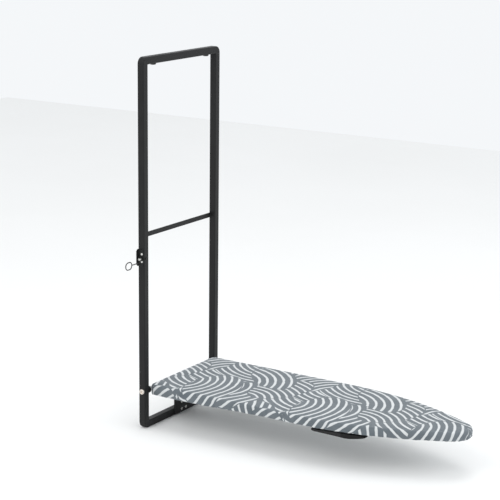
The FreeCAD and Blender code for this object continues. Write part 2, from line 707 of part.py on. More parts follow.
deckUnderPivot = "(boardRise - coverThick - softGap - padThick - deckSheet)"
postSpans = (("handleLeft + postMargin", "handleLeft + postMargin + postLength"),
             ("handleRight - postMargin - postLength", "handleRight - postMargin"))
postAcross = ("handleOuter + postInset", "handleOuter + handleWidth")


def handleBody(label):
    # The handle lies along the board's near edge, which the taper turns inwards.
    body = newBody(label)
    body.setExpression("Placement.Base.x", rule("handleMid"))
    body.setExpression("Placement.Base.y", rule("-" + halfWidthAt("handleMid")))
    body.setExpression("Placement.Rotation.Angle", rule("handleTilt"))
    body.setExpression("Placement.Base.z", rule("pivotHeight - fixingMid"))
    return body


def handleGrip():
    # A moulded bar that hangs under the edge, on two posts up to the strap.
    body = handleBody("handle_grip")
    profile = [("handleLeft", "handleTop"), ("handleLeft + handleToe", "handleTop - handleSag"),
               ("handleBowAt", "handleBow"), ("handleDeepAt", "handleDeep"),
               ("handleHeelAt", "handleHeel"), ("handleRight", "handleTop - handleSag"),
               ("handleRight", "handleTop")]
    sketch = polygonSketch(body, "Side", "XZ_Plane", profile,
                           "-(handleOuter + handleWidth)")
    grip = body.newObject("PartDesign::Pad", "Grip")
    grip.Profile = sketch
    grip.setExpression("Length", rule("handleWidth"))
    for low, high in postSpans:
        block(body, [(low, high), postAcross, ("handleTop", deckUnderPivot + " - strapThick")])
        middle = "(%s + %s) / 2" % (low, high)
        across = "(%s + %s) / 2" % postAcross
        rod(body, "z", "handleScrew + looseGap", "-2 * handleDeep",
            (middle, across, "handleDeep - cutOver"), True)
        rod(body, "z", "handleScrewHead + sideGap", "handleSeat - handleDeep + cutOver",
            (middle, across, "handleDeep - cutOver"), True)
    post = "%s - strapThick - handleTop" % deckUnderPivot
    roundEdges(body, "handleEdge",
               lambda edge: alongAxis(edge, "z") and near(edge.Length, post))


def handleStrap():
    body = handleBody("handle_strap")
    block(body, [("handleLeft + strapOver", "handleRight - strapOver"), postAcross,
                 (deckUnderPivot + " - strapThick", deckUnderPivot)])
    for low, high in postSpans:
        middle = "(%s + %s) / 2" % (low, high)
        across = "(%s + %s) / 2" % postAcross
        rod(body, "z", "handleScrew", "strapThick",
            (middle, across, deckUnderPivot + " - strapThick"), True)


def handleScrews():
    body = handleBody("handle_screws")
    for low, high in postSpans:
        middle = "(%s + %s) / 2" % (low, high)
        across = "(%s + %s) / 2" % postAcross
        head = (middle, across, "handleSeat - handleScrewDeep")
        rod(body, "z", "handleScrew", deckUnderPivot + " - handleSeat",
            (middle, across, "handleSeat"))
        rod(body, "z", "handleScrewHead", "handleScrewDeep", head)
        hexRod(body, "z", "handleHex", "hexDepth", head, True)


# --- latch -----------------------------------------------------------------------

def latchPlate():
    # An angle on the stile's outer face, with a flange turned out at its back.
    body = newBody("latch_plate")
    height = ("latchMid - latchHeight / 2", "latchMid + latchHeight / 2")
    block(body, [("0", "tubeSize - tubeEdge"), (plateOutside, stileOutside), height])
    block(body, [("0", "latchSheet"), (stileOutside + " - latchFlange", stileOutside), height])

    def flangeCorner(edge):
        return alongAxis(edge, "x") and near(edge.CenterOfMass.y, stileOutside + " - latchFlange")

    doc.recompute()
    base = body.Tip
    names = ["Edge%d" % number for number, edge in enumerate(base.Shape.Edges, start=1)
             if flangeCorner(edge)]
    chamfer = body.newObject("PartDesign::Chamfer", "FlangeCorners")
    chamfer.Base = (base, names)
    chamfer.setExpression("Size", rule("latchCorner"))
    rod(body, "y", "sleeveRadius", "latchSheet", ("pinDepth", plateOutside, "pinHeight"), True)
    for step in (-1, 1):
        rod(body, "y", "rivetStem", "latchSheet",
            ("rivetDepth", plateOutside, "latchMid + %d * rivetSpan / 2" % step), True)


def latchRivets():
    body = newBody("latch_rivets")
    crown = plateOutside + " - rivetRise"
    for step in (-1, 1):
        height = "latchMid + %d * rivetSpan / 2" % step
        rod(body, "y", "rivetHead", "rivetRise", ("rivetDepth", crown, height))
        rod(body, "y", "rivetStem", "latchSheet + tubeWall", ("rivetDepth", plateOutside, height))
    roundEdges(body, "rivetRise * domeShare",
               lambda edge: circleAt(edge, "y", crown, "rivetHead"))


def latchBarrel():
    # The housing of the locking pin: a boss outside the plate and a spring
    # chamber inside the stile.
    body = newBody("latch_barrel")
    boss = plateOutside + " - bossLength"
    rod(body, "y", "bossRadius", "bossLength", ("pinDepth", boss, "pinHeight"))
    rod(body, "y", "sleeveRadius", "latchSheet + tubeWall", ("pinDepth", plateOutside, "pinHeight"))
    rod(body, "y", "barrelRadius", "%s - %s" % (barrelInner, barrelOuter),
        ("pinDepth", barrelOuter, "pinHeight"))
    chamber = barrelOuter + " + chamberFloor"
    rod(body, "y", "chamberRadius", "%s - (%s)" % (barrelInner, chamber),
        ("pinDepth", chamber, "pinHeight"), True)
    rod(body, "y", "pinRadius + runningGap", "tubeSize + bossLength + latchSheet",
        ("pinDepth", boss, "pinHeight"), True)
    rod(body, "x", "sideScrewTap", "barrelRadius",
        (tapStart, stileOutside + " + sideScrewAcross", "pinHeight"), True)


def latchPin():
    # The locking pin with the collar that its spring pushes on.
    body = newBody("latch_pin")
    tip = "(-frameWidth / 2 + tubeSize + pinProud)"
    outer = plateOutside + " - bossLength - pinOut / 2"
    rod(body, "y", "pinRadius", "%s - (%s)" % (tip, outer), ("pinDepth", outer, "pinHeight"))
    collar = "(%s - collarOffset - collarLength)" % barrelInner
    rod(body, "y", "collarRadius", "collarLength", ("pinDepth", collar, "pinHeight"))
    roundEdges(body, "pinRadius * domeShare", lambda edge: circleAt(edge, "y", tip, "pinRadius"))
    rod(body, "z", "wireRadius + looseGap", "4 * pinRadius",
        ("pinDepth", wireAcross, "pinHeight - 2 * pinRadius"), True)


def latchSpring():
    # A compression spring between the barrel's shoulder and the pin's collar.
    low = size(barrelOuter + " + chamberFloor + springWire + springEndGap")
    high = size(barrelInner + " - collarOffset - collarLength - springWire - springEndGap")
    radius = size("springRadius")
    coil = Part.makeHelix((high - low) / size("springTurns"), high - low, radius)
    ring = Part.Wire(Part.makeCircle(size("springWire"), Vector(radius, 0, 0), Vector(0, 1, 0)))
    body = doc.addObject("Part::Feature", "latch_spring")
    body.Shape = Part.Wire(coil).makePipeShell([ring], True, True)
    spot = Vector(size("pinDepth"), low, size("pinHeight - fixingMid"))
    body.Placement = Placement(spot, turns["y"])


def latchSideScrew():
    # The small screw in the stile's front face that keeps the barrel from turning.
    body = newBody("latch_side_screw")
    across = stileOutside + " + sideScrewAcross"
    rod(body, "x", "rivetStem", "tubeWall", ("tubeSize - tubeWall", across, "pinHeight"))
    rod(body, "x", "sideScrewTap - looseGap", "tubeSize - softGap - " + tapStart,
        (tapStart + " + softGap", across, "pinHeight"))
    rod(body, "x", "sideScrewHead", "sideScrewRise", ("tubeSize", across, "pinHeight"))
    roundEdges(body, "sideScrewRise * domeShare",
               lambda edge: circleAt(edge, "x", "tubeSize + sideScrewRise", "sideScrewHead"))


def pullWire():
    # A wire through the pin, bent outwards and welded to an oval eye.
    radius, bend = size("wireRadius"), size("wireBend")
    eye, straight = size("eyeRadius"), size("eyeStraight")
    top = size("wireDrop + pinRadius + wireStub")
    reach = size("wireReach")
    seamTurn = 30

    def spot(out, up):
        return Vector(0, -out, up)

    half = math.sqrt(0.5)
    elbow = Part.Arc(spot(0, bend), spot(bend - bend * half, bend - bend * half), spot(bend, 0))
    shank = [Part.LineSegment(spot(0, top), spot(0, bend)), elbow,
             Part.LineSegment(spot(bend, 0), spot(reach + size("weldDepth"), 0))]
    middle = reach + eye
    ends = middle + straight
    loop = [Part.LineSegment(spot(middle, eye), spot(ends, eye)),
            Part.Arc(spot(ends, eye), spot(ends + eye, 0), spot(ends, -eye)),
            Part.LineSegment(spot(ends, -eye), spot(middle, -eye)),
            Part.Arc(spot(middle, -eye), spot(reach, 0), spot(middle, eye))]
    solids = []
    for run, start, along in ((shank, spot(0, top), Vector(0, 0, -1)),
                              (loop, spot(middle, eye), Vector(0, -1, 0))):
        path = Part.Wire([edge.toShape() for edge in run])
        ring = Part.makeCircle(radius, start, along)
        ring.rotate(start, along, seamTurn)
        solids.append(path.makePipeShell([Part.Wire(ring)], True, False))
    body = doc.addObject("Part::Feature", "pull_wire")
    body.Shape = solids[0].fuse(solids[1])
    body.Placement = Placement(
        Vector(size("pinDepth"), size(wireAcross), size("pinHeight - wireDrop - fixingMid")),
        Rotation())


stile("stile_left", -1)
stile("stile_right", 1)
rail("top_rail", 1)
rail("bottom_rail", -1)
crossbar()
wallInserts()
railPlugs()
pivotBolts()
pivotBushes()
pivotNuts()
hingeEar("hinge_ear_left", -1)
hingeEar("hinge_ear_right", 1)
earRivets()
deckPanel()
rimRail("side_rail_left", "left")
rimRail("side_rail_right", "right")
rimRail("nose_rail", "nose")
rimRail("end_rail", "end")
deckRibs()
stopBar()
foamPad()
fabricCover()
hemCord()
supportBracket()
bracketLug()
bracketScrews()
stopPad()
handleGrip()
handleStrap()
handleScrews()
latchPlate()
latchRivets()
latchBarrel()
latchPin()
latchSpring()
latchSideScrew()
pullWire()
doc.recompute()

os.makedirs("parts", exist_ok=True)
nodes = []
for item in doc.Objects:
    if "Invalid" in item.State or "Error" in item.State:
        raise RuntimeError("%s (%s) is %s" % (item.Name, item.Label, item.State))
    if item.isDerivedFrom("PartDesign::Body") or item.TypeId == "Part::Feature":
        nodes.append(item)
for node in nodes:
    if node.Shape.isNull() or not node.Shape.isValid():
        raise RuntimeError(node.Label + " has no valid shape")
for node in nodes:
    node.Shape.exportStep("parts/%s.step" % node.Label)
    box = node.Shape.optimalBoundingBox()
    print("%-18s %d solids, %.1f cm3, %.0f x %.0f x %.0f mm" % (
        node.Label, len(node.Shape.Solids), node.Shape.Volume / 1000,
        box.XLength, box.YLength, box.ZLength))
print(len(nodes), "nodes")
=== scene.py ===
import json
import math

import bmesh
import bpy
import numpy as np
from mathutils import Matrix, Vector


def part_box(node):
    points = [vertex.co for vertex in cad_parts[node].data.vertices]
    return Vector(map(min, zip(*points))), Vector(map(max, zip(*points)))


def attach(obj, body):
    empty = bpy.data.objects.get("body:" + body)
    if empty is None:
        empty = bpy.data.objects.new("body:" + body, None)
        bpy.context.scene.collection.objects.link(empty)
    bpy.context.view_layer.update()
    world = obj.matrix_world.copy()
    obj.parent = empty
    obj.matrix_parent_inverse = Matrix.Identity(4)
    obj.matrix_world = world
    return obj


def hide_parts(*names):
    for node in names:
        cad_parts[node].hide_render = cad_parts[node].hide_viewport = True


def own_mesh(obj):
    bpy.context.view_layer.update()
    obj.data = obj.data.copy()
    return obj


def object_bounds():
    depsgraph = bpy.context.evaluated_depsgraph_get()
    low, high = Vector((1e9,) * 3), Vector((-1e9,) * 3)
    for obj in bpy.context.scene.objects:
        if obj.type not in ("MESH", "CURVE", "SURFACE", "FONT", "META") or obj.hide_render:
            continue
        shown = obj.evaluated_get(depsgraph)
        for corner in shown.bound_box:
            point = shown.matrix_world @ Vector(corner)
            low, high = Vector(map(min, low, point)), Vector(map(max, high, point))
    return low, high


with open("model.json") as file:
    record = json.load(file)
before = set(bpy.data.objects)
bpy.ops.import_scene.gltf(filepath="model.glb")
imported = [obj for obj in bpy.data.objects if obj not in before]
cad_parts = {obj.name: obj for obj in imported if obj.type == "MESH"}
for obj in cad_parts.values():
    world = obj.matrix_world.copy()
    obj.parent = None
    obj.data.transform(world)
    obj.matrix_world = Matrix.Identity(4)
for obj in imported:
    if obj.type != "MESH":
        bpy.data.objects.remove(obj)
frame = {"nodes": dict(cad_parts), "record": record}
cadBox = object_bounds()
nodes = frame["nodes"]
scene = bpy.context.scene
millimetre = 0.001
print("frame loaded:", len(nodes), "nodes")

# --- camera, light and floor ---

viewpoint = {
    "place": (2.45599, -3.51480, 0.98287),
    "forward": (-0.51908, 0.82259, -0.23220),
    "roll": 0.642,        # degrees
    "lens": 115.25,       # mm on a 36 mm sensor
}
studio = {
    "skyColor": (0.96, 0.98, 1.0, 1), "skyStrength": 0.95, "exposure": 0.0,
    "floorColor": (0.93, 0.93, 0.925, 1), "floorSize": 9.0,
    # name: (place, aim, size, watts, colour)
    "lamps": {
        "keyLamp": ((-0.6, -3.2, 2.6), (0.4, 0.0, -0.35), 2.4, 34, (1.0, 0.985, 0.96)),
        "sideLamp": ((3.4, 0.6, 1.6), (0.2, 0.0, -0.1), 2.2, 20, (0.95, 0.98, 1.0)),
        "topLamp": ((0.6, 0.4, 3.2), (0.45, 0.0, -0.4), 2.0, 20, (1.0, 1.0, 1.0)),
    },
}


def makeCamera(spec):
    # right = forward x up, then both turned about the line of sight by the roll
    forward = Vector(spec["forward"]).normalized()
    right = forward.cross(Vector((0, 0, 1))).normalized()
    up = right.cross(forward)
    roll = math.radians(spec["roll"])
    turnedRight = right * math.cos(roll) + up * math.sin(roll)
    turnedUp = up * math.cos(roll) - right * math.sin(roll)
    matrix = Matrix((turnedRight, turnedUp, -forward)).transposed().to_4x4()
    matrix.translation = Vector(spec["place"])
    data = bpy.data.cameras.new("viewCamera")
    data.lens = spec["lens"]
    data.sensor_width = 36
    data.clip_end = 50
    obj = bpy.data.objects.new("viewCamera", data)
    obj.matrix_world = matrix
    scene.collection.objects.link(obj)
    scene.camera = obj


def makeLamp(name, place, aim, size, watts, colour):
    data = bpy.data.lights.new(name, "AREA")
    data.shape = "DISK"
    data.size = size
    data.energy = watts
    data.color = colour
    obj = bpy.data.objects.new(name, data)
    obj.location = place
    obj.rotation_euler = (Vector(aim) - Vector(place)).to_track_quat("-Z", "Y").to_euler()
    scene.collection.objects.link(obj)


def makeSky(spec):
    world = bpy.data.worlds.new("studioSky")
    world.use_nodes = True
    background = world.node_tree.nodes["Background"]
    background.inputs["Color"].default_value = spec["skyColor"]
    background.inputs["Strength"].default_value = spec["skyStrength"]
    scene.world = world
    scene.view_settings.view_transform = "Standard"
    scene.view_settings.exposure = spec["exposure"]


# --- shader building ---

def addNode(tree, kind, inputs=None, **settings):
    node = tree.nodes.new(kind)
    for key, value in settings.items():
        setattr(node, key, value)
    for key, value in (inputs or {}).items():
        if isinstance(value, bpy.types.NodeSocket):
            tree.links.new(value, node.inputs[key])
        else:
            node.inputs[key].default_value = value
    return node


def calc(tree, operation, *values, clamp=False):
    return addNode(tree, "ShaderNodeMath", dict(enumerate(values)),
                   operation=operation, use_clamp=clamp).outputs[0]


def vectorCalc(tree, operation, *values):
    node = addNode(tree, "ShaderNodeVectorMath", dict(enumerate(values)), operation=operation)
    return node.outputs["Value" if operation in ("LENGTH", "DOT_PRODUCT") else "Vector"]


def ramp(tree, value, low, high, toLow=0.0, toHigh=1.0, smooth=True):
    return addNode(tree, "ShaderNodeMapRange",
                   {"Value": value, "From Min": low, "From Max": high,
                    "To Min": toLow, "To Max": toHigh},
                   interpolation_type="SMOOTHSTEP" if smooth else "LINEAR").outputs[0]


def blendColor(tree, share, first, second):
    node = addNode(tree, "ShaderNodeMix", data_type="RGBA")
    for socket, value in ((node.inputs[0], share), (node.inputs[6], first), (node.inputs[7], second)):
        if isinstance(value, bpy.types.NodeSocket):
            tree.links.new(value, socket)
        else:
            socket.default_value = value
    return node.outputs[2]


def newGroup(name, ins, outs):
    tree = bpy.data.node_groups.new(name, "ShaderNodeTree")
    for label, kind, value in ins:
        socket = tree.interface.new_socket(name=label, in_out="INPUT", socket_type="NodeSocket" + kind)
        if value is not None:
            socket.default_value = value
    for label, kind in outs:
        tree.interface.new_socket(name=label, in_out="OUTPUT", socket_type="NodeSocket" + kind)
    return tree, tree.nodes.new("NodeGroupInput"), tree.nodes.new("NodeGroupOutput")


def useGroup(tree, name, **inputs):
    node = tree.nodes.new("ShaderNodeGroup")
    node.node_tree = bpy.data.node_groups[name]
    for key, value in inputs.items():
        label = "".join(" " + c if c.isupper() else c for c in key).title().strip()
        if isinstance(value, bpy.types.NodeSocket):
            tree.links.new(value, node.inputs[label])
        else:
            node.inputs[label].default_value = value
    return node.outputs


def makeSurfaceGrain():
    # fine bump height and slow mottle, both from noise
    tree, ins, outs = newGroup(
        "surfaceGrain",
        [("Point", "Vector", None), ("Fine", "Float", 1200.0), ("Slow", "Float", 22.0)],
        [("Height", "Float"), ("Mottle", "Float")])
    fine = addNode(tree, "ShaderNodeTexNoise", {
        "Vector": ins.outputs["Point"], "Scale": ins.outputs["Fine"],
        "Detail": 2.0, "Roughness": 0.6})
    slow = addNode(tree, "ShaderNodeTexNoise", {
        "Vector": ins.outputs["Point"], "Scale": ins.outputs["Slow"],
        "Detail": 4.0, "Roughness": 0.55})
    tree.links.new(fine.outputs["Fac"], outs.inputs["Height"])
    tree.links.new(slow.outputs["Fac"], outs.inputs["Mottle"])


def makeEdgeRubAndHighlight():
    # 1 where the surface turns sharply: the rounded normal leans away from the true one. Edges lightened by
    #                                    this mask are part rubbed wear, part painted highlight
    tree, ins, outs = newGroup(
        "edgeRubAndHighlight", [("Point", "Vector", None), ("Width", "Float", 0.0008), ("Patchy", "Float", 90.0)],
        [("Rub", "Float")])
    rounded = addNode(tree, "ShaderNodeBevel", {"Radius": ins.outputs["Width"]}, samples=4)
    true = tree.nodes.new("ShaderNodeNewGeometry")
    lean = vectorCalc(tree, "DOT_PRODUCT", rounded.outputs["Normal"], true.outputs["Normal"])
    edge = ramp(tree, lean, 0.995, 0.88)
    patchy = addNode(tree, "ShaderNodeTexNoise", {
        "Vector": ins.outputs["Point"], "Scale": ins.outputs["Patchy"], "Detail": 3.0})
    spotted = ramp(tree, patchy.outputs["Fac"], 0.42, 0.62)
    tree.links.new(calc(tree, "MULTIPLY", edge, spotted), outs.inputs["Rub"])


def makePlainWeave():
    # warp and weft as two crossed waves; the raised one alternates like a chessboard
    tree, ins, outs = newGroup(
        "plainWeave", [("Point", "Vector", None), ("Pitch", "Float", 0.0007)],
        [("Height", "Float"), ("Slub", "Float")])
    split = addNode(tree, "ShaderNodeSeparateXYZ", {"Vector": ins.outputs["Point"]})
    step = calc(tree, "DIVIDE", math.pi, ins.outputs["Pitch"])
    warp = calc(tree, "SINE", calc(tree, "MULTIPLY", split.outputs[0], step))
    weft = calc(tree, "SINE", calc(tree, "MULTIPLY", split.outputs[1], step))
    over = calc(tree, "MULTIPLY", warp, weft)
    crossed = calc(tree, "ADD", calc(tree, "ABSOLUTE", warp), calc(tree, "ABSOLUTE", weft))
    tree.links.new(calc(tree, "MULTIPLY_ADD", over, 0.6, crossed), outs.inputs["Height"])
    stretched = vectorCalc(tree, "MULTIPLY", ins.outputs["Point"], (60.0, 900.0, 60.0))
    slub = addNode(tree, "ShaderNodeTexNoise", {"Vector": stretched, "Scale": 1.0, "Detail": 2.0})
    tree.links.new(slub.outputs["Fac"], outs.inputs["Slub"])


tileSize = 0.335


def makeArcPatch():
    # an oval patch of arcs drawn about a centre of their own, laid over what is under it:
    # arc wave = pingpong(distance to the arc centre, half the pitch)
    tree, ins, outs = newGroup(
        "arcPatch",
        [("Point", "Vector", None), ("Under", "Float", 0.0), ("Wobble", "Float", 0.0),
         ("Middle", "Vector", None), ("Turn", "Float", 0.0), ("Shape", "Vector", None),
         ("Arc Centre", "Vector", None), ("Pitch", "Float", 0.0135), ("Share", "Float", 0.45)],
        [("Over", "Float")])
    wrap = (tileSize / 2, tileSize / 2, 1.0)
    back = (-tileSize / 2, -tileSize / 2, -1.0)
    apart = vectorCalc(tree, "SUBTRACT", ins.outputs["Point"], ins.outputs["Middle"])
    local = vectorCalc(tree, "WRAP", apart, wrap, back)
    turned = addNode(tree, "ShaderNodeVectorRotate",
                     {"Vector": local, "Angle": ins.outputs["Turn"]},
                     rotation_type="Z_AXIS").outputs[0]
    oval = vectorCalc(tree, "LENGTH", vectorCalc(tree, "DIVIDE", turned, ins.outputs["Shape"]))
    ragged = calc(tree, "MULTIPLY_ADD", ins.outputs["Wobble"], 16.0, oval)
    inside = ramp(tree, ragged, 1.0, 0.985)
    drawn = ramp(tree, ragged, 0.965, 0.945)
    away = vectorCalc(tree, "LENGTH", vectorCalc(tree, "SUBTRACT", turned, ins.outputs["Arc Centre"]))
    radius = calc(tree, "ADD", away, ins.outputs["Wobble"])
    half = calc(tree, "MULTIPLY", ins.outputs["Pitch"], 0.5)
    wave = calc(tree, "DIVIDE", calc(tree, "PINGPONG", radius, half), half)
    edge = calc(tree, "SUBTRACT", 1.0, ins.outputs["Share"])
    stripe = ramp(tree, wave, calc(tree, "SUBTRACT", edge, 0.06), calc(tree, "ADD", edge, 0.06))
    painted = calc(tree, "MULTIPLY", stripe, drawn)
    kept = calc(tree, "MULTIPLY", ins.outputs["Under"], calc(tree, "SUBTRACT", 1.0, inside))
    over = calc(tree, "MULTIPLY_ADD", painted, inside, kept)
    tree.links.new(over, outs.inputs["Over"])


def startMaterial(name, **sockets):
    material = bpy.data.materials.new(name)
    material.use_nodes = True
    tree = material.node_tree
    shader = tree.nodes["Principled BSDF"]
    for key, value in sockets.items():
        label = {"sheenWeight": "Sheen Weight", "sheenRoughness": "Sheen Roughness",
                 "specular": "Specular IOR Level"}.get(key, key.capitalize())
        shader.inputs[label].default_value = value
    point = tree.nodes.new("ShaderNodeTexCoord").outputs["Object"]
    return material, tree, shader, point


def addBump(tree, shader, height, distance, strength=1.0):
    bump = addNode(tree, "ShaderNodeBump",
                   {"Height": height, "Distance": distance, "Strength": strength})
    tree.links.new(bump.outputs["Normal"], shader.inputs["Normal"])


# name: base, edge colour (worn and painted highlight), lowest and highest roughness, metallic, specular,
# grain per metre, grain depth, share of edge wear and painted highlight
finishes = {
    # the powder coat's edge colour is lighter to stand in for the highlight on the rounded tube edges:
    # painted highlight, partly rub-through wear
    "powderBlack": (
        (0.0130, 0.0133, 0.0138), (0.075, 0.075, 0.076),
        0.38, 0.52, 0.0, 0.20, 1500, 0.00006, 0.8),
    "blackOxide": (
        (0.014, 0.014, 0.0145), (0.14, 0.135, 0.13),
        0.32, 0.46, 0.2, 0.25, 2400, 0.00002, 0.8),
    "zincPlate": (
        (0.66, 0.655, 0.63), (0.80, 0.79, 0.77),
        0.22, 0.38, 1.0, 0.5, 2600, 0.000012, 0.6),
    "nickelBolt": (
        (0.72, 0.66, 0.60), (0.84, 0.80, 0.76),
        0.20, 0.32, 1.0, 0.5, 2600, 0.00001, 0.6),
    "deckEnamel": (
        (0.44, 0.46, 0.47), (0.60, 0.61, 0.61),
        0.30, 0.44, 0.0, 0.5, 600, 0.00004, 0.5),
    "blackPlastic": (
        (0.010, 0.010, 0.0105), (0.030, 0.030, 0.031),
        0.42, 0.56, 0.0, 0.28, 2000, 0.00005, 0.6),
    "blackRubber": (
        (0.016, 0.016, 0.016), (0.045, 0.045, 0.045),
        0.68, 0.84, 0.0, 0.2, 900, 0.00006, 0.5),
}


def makeFinish(name, base, edgeWornAndHighlit, smoothest, roughest, metallic, specular, grain, depth, wearAndHighlightShare):
    material, tree, shader, point = startMaterial(name, metallic=metallic, specular=specular)
    look = useGroup(tree, "surfaceGrain", point=point, fine=float(grain))
    edge = useGroup(tree, "edgeRubAndHighlight", point=point)
    share = calc(tree, "MULTIPLY", edge["Rub"], wearAndHighlightShare)
    tint = blendColor(tree, ramp(tree, look["Mottle"], 0.3, 0.7, 0.0, 1.0),
                      (*[c * 0.86 for c in base], 1), (*[c * 1.12 for c in base], 1))
    # edges take the lighter edge colour: part rubbed wear, part painted highlight
    color = blendColor(tree, share, tint, (*edgeWornAndHighlit, 1))
    tree.links.new(color, shader.inputs["Base Color"])
    tree.links.new(ramp(tree, look["Mottle"], 0.3, 0.7, smoothest, roughest), shader.inputs["Roughness"])
    addBump(tree, shader, look["Height"], depth)
    return material


printed = {
    "ground": (0.128, 0.150, 0.168, 1), "groundDark": (0.108, 0.130, 0.147, 1),
    "stripe": (0.66, 0.68, 0.685, 1), "columns": 3, "rows": 4, "seed": 11,
    "long": (0.095, 0.125), "short": (0.060, 0.080), "pitch": (0.0190, 0.0225),
    "wobble": 0.0016, "bow": (0.090, 0.170), "handScale": 15.0, "brushScale": 55.0,
    "inkShare": (0.27, 0.37), "jitter": 0.16, "crossing": 0.35, "crossShift": (0.03, 0.01),
    "arcDrift": 0.02, "soil": (0.42, 0.45, 0.47, 1), "soilMost": 0.10,
}


def makePrintedCotton(spec):
    material, tree, shader, point = startMaterial(
        "printedCotton", roughness=0.82, sheenWeight=0.18, sheenRoughness=0.5, specular=0.3)
    cloth = addNode(tree, "ShaderNodeUVMap", uv_map="clothFlat").outputs["UV"]
    hand = addNode(tree, "ShaderNodeTexNoise", {"Vector": cloth, "Scale": spec["handScale"], "Detail": 1.0})
    wobble = calc(tree, "MULTIPLY", calc(tree, "SUBTRACT", hand.outputs["Fac"], 0.5),
                  2 * spec["wobble"])
    brush = addNode(tree, "ShaderNodeTexNoise", {"Vector": cloth, "Scale": spec["brushScale"], "Detail": 1.0})
    dice = np.random.RandomState(spec["seed"])
    spots = [(column, row) for column in range(spec["columns"]) for row in range(spec["rows"])]
    dice.shuffle(spots)
    share = ramp(tree, brush.outputs["Fac"], 0.3, 0.7, *spec["inkShare"])
    under = 0.0
    for column, row in spots:
        stagger, jitter = 0.5 * (row % 2), spec["jitter"]
        middle = ((column + stagger + dice.uniform(-jitter, jitter)) * tileSize / spec["columns"],
                  (row + dice.uniform(-jitter, jitter)) * tileSize / spec["rows"], 0.0)
        longHalf, shortHalf = dice.uniform(*spec["long"]), dice.uniform(*spec["short"])
        bow = dice.choice((-1, 1)) * dice.uniform(*spec["bow"])
        across = dice.choice((0, 1), p=(1 - spec["crossing"], spec["crossing"]))
        if across:
            arcCentre = (bow + spec["crossShift"][0], spec["crossShift"][1], 0.0)
        else:
            arcCentre = (dice.uniform(-spec["arcDrift"], spec["arcDrift"]), bow, 0.0)
        under = useGroup(
            tree, "arcPatch", point=cloth, under=under, wobble=wobble, middle=middle,
            turn=dice.uniform(0, 2 * math.pi), shape=(longHalf, shortHalf, 1.0),
            arcCentre=arcCentre, pitch=dice.uniform(*spec["pitch"]),
            share=share)["Over"]
    weave = useGroup(tree, "plainWeave", point=cloth)
    mottle = useGroup(tree, "surfaceGrain", point=point, fine=700.0, slow=30.0)
    ground = blendColor(tree, ramp(tree, weave["Slub"], 0.3, 0.7), spec["groundDark"], spec["ground"])
    inked = blendColor(tree, under, ground, spec["stripe"])
    shade = ramp(tree, mottle["Mottle"], 0.25, 0.75, 0.0, spec["soilMost"])
    color = blendColor(tree, shade, inked, spec["soil"])
    tree.links.new(color, shader.inputs["Base Color"])
    height = calc(tree, "MULTIPLY_ADD", mottle["Height"], 0.7, weave["Height"])
    addBump(tree, shader, height, 0.00010, 0.6)
    return material


def makeFelt():
    material, tree, shader, point = startMaterial(
        "foamFelt", roughness=0.95, sheenWeight=0.3, specular=0.2)
    fibres = useGroup(tree, "surfaceGrain", point=point, fine=900.0, slow=120.0)
    color = blendColor(tree, ramp(tree, fibres["Mottle"], 0.3, 0.7),
                       (0.66, 0.655, 0.62, 1), (0.80, 0.79, 0.76, 1))
    tree.links.new(color, shader.inputs["Base Color"])
    addBump(tree, shader, fibres["Height"], 0.0005)
    return material


def makeThread():
    material, tree, shader, point = startMaterial(
        "whiteThread", roughness=0.7, sheenWeight=0.2, specular=0.3)
    twist = addNode(tree, "ShaderNodeTexWave", {"Vector": point, "Scale": 900.0},
                    bands_direction="DIAGONAL")
    # colour follows the twist wave and is darker in its low bands: painted shade in the grooves between the
    # plies
    color = blendColor(tree, twist.outputs["Fac"], (0.62, 0.63, 0.62, 1), (0.80, 0.80, 0.79, 1))
    tree.links.new(color, shader.inputs["Base Color"])
    addBump(tree, shader, twist.outputs["Fac"], 0.0001)
    return material


gripTone = {
    "grey": (0.017, 0.017, 0.0175, 1), "black": (0.0035, 0.0035, 0.0035, 1),
    "splitAt": 0.6035, "splitBlur": 0.0006,
}


def makeGripPlastic(spec):
    # dark grey towards the hinge, black beyond the parting line
    material, tree, shader, point = startMaterial("gripPlastic", roughness=0.5, specular=0.25)
    look = useGroup(tree, "surfaceGrain", point=point, fine=1900.0, slow=26.0)
    edge = useGroup(tree, "edgeRubAndHighlight", point=point)
    place = addNode(tree, "ShaderNodeSeparateXYZ", {"Vector": point}).outputs[0]
    beyond = ramp(tree, place, spec["splitAt"] - spec["splitBlur"], spec["splitAt"] + spec["splitBlur"])
    tone = blendColor(tree, beyond, spec["grey"], spec["black"])
    # rims lightened by the edge mask: part rubbed wear, part painted highlight
    edgeWornAndHighlit = blendColor(tree, calc(tree, "MULTIPLY", edge["Rub"], 0.45), tone, (0.035, 0.035, 0.035, 1))
    tree.links.new(edgeWornAndHighlit, shader.inputs["Base Color"])
    tree.links.new(ramp(tree, look["Mottle"], 0.3, 0.7, 0.40, 0.56), shader.inputs["Roughness"])
    addBump(tree, shader, look["Height"], 0.00005)
    return material


makeCamera(viewpoint)
makeSky(studio)
for lampName, lampSpec in studio["lamps"].items():
    makeLamp(lampName, *lampSpec)
makeSurfaceGrain()
makeEdgeRubAndHighlight()
makePlainWeave()
makeArcPatch()
materials = {name: makeFinish(name, *spec) for name, spec in finishes.items()}
materials["printedCotton"] = makePrintedCotton(printed)
materials["foamFelt"] = makeFelt()
materials["whiteThread"] = makeThread()
materials["gripPlastic"] = makeGripPlastic(gripTone)
slotFinish = {
    "powder_black": "powderBlack", "blackened_steel": "blackOxide", "zinc_steel": "zincPlate",
    "deck_enamel": "deckEnamel", "black_plastic": "blackPlastic", "black_rubber": "blackRubber",
    "foam": "foamFelt", "printed_cotton": "printedCotton", "cord": "whiteThread",
}


def paint(obj, name):
    obj.data.materials.clear()
    obj.data.materials.append(materials[name])


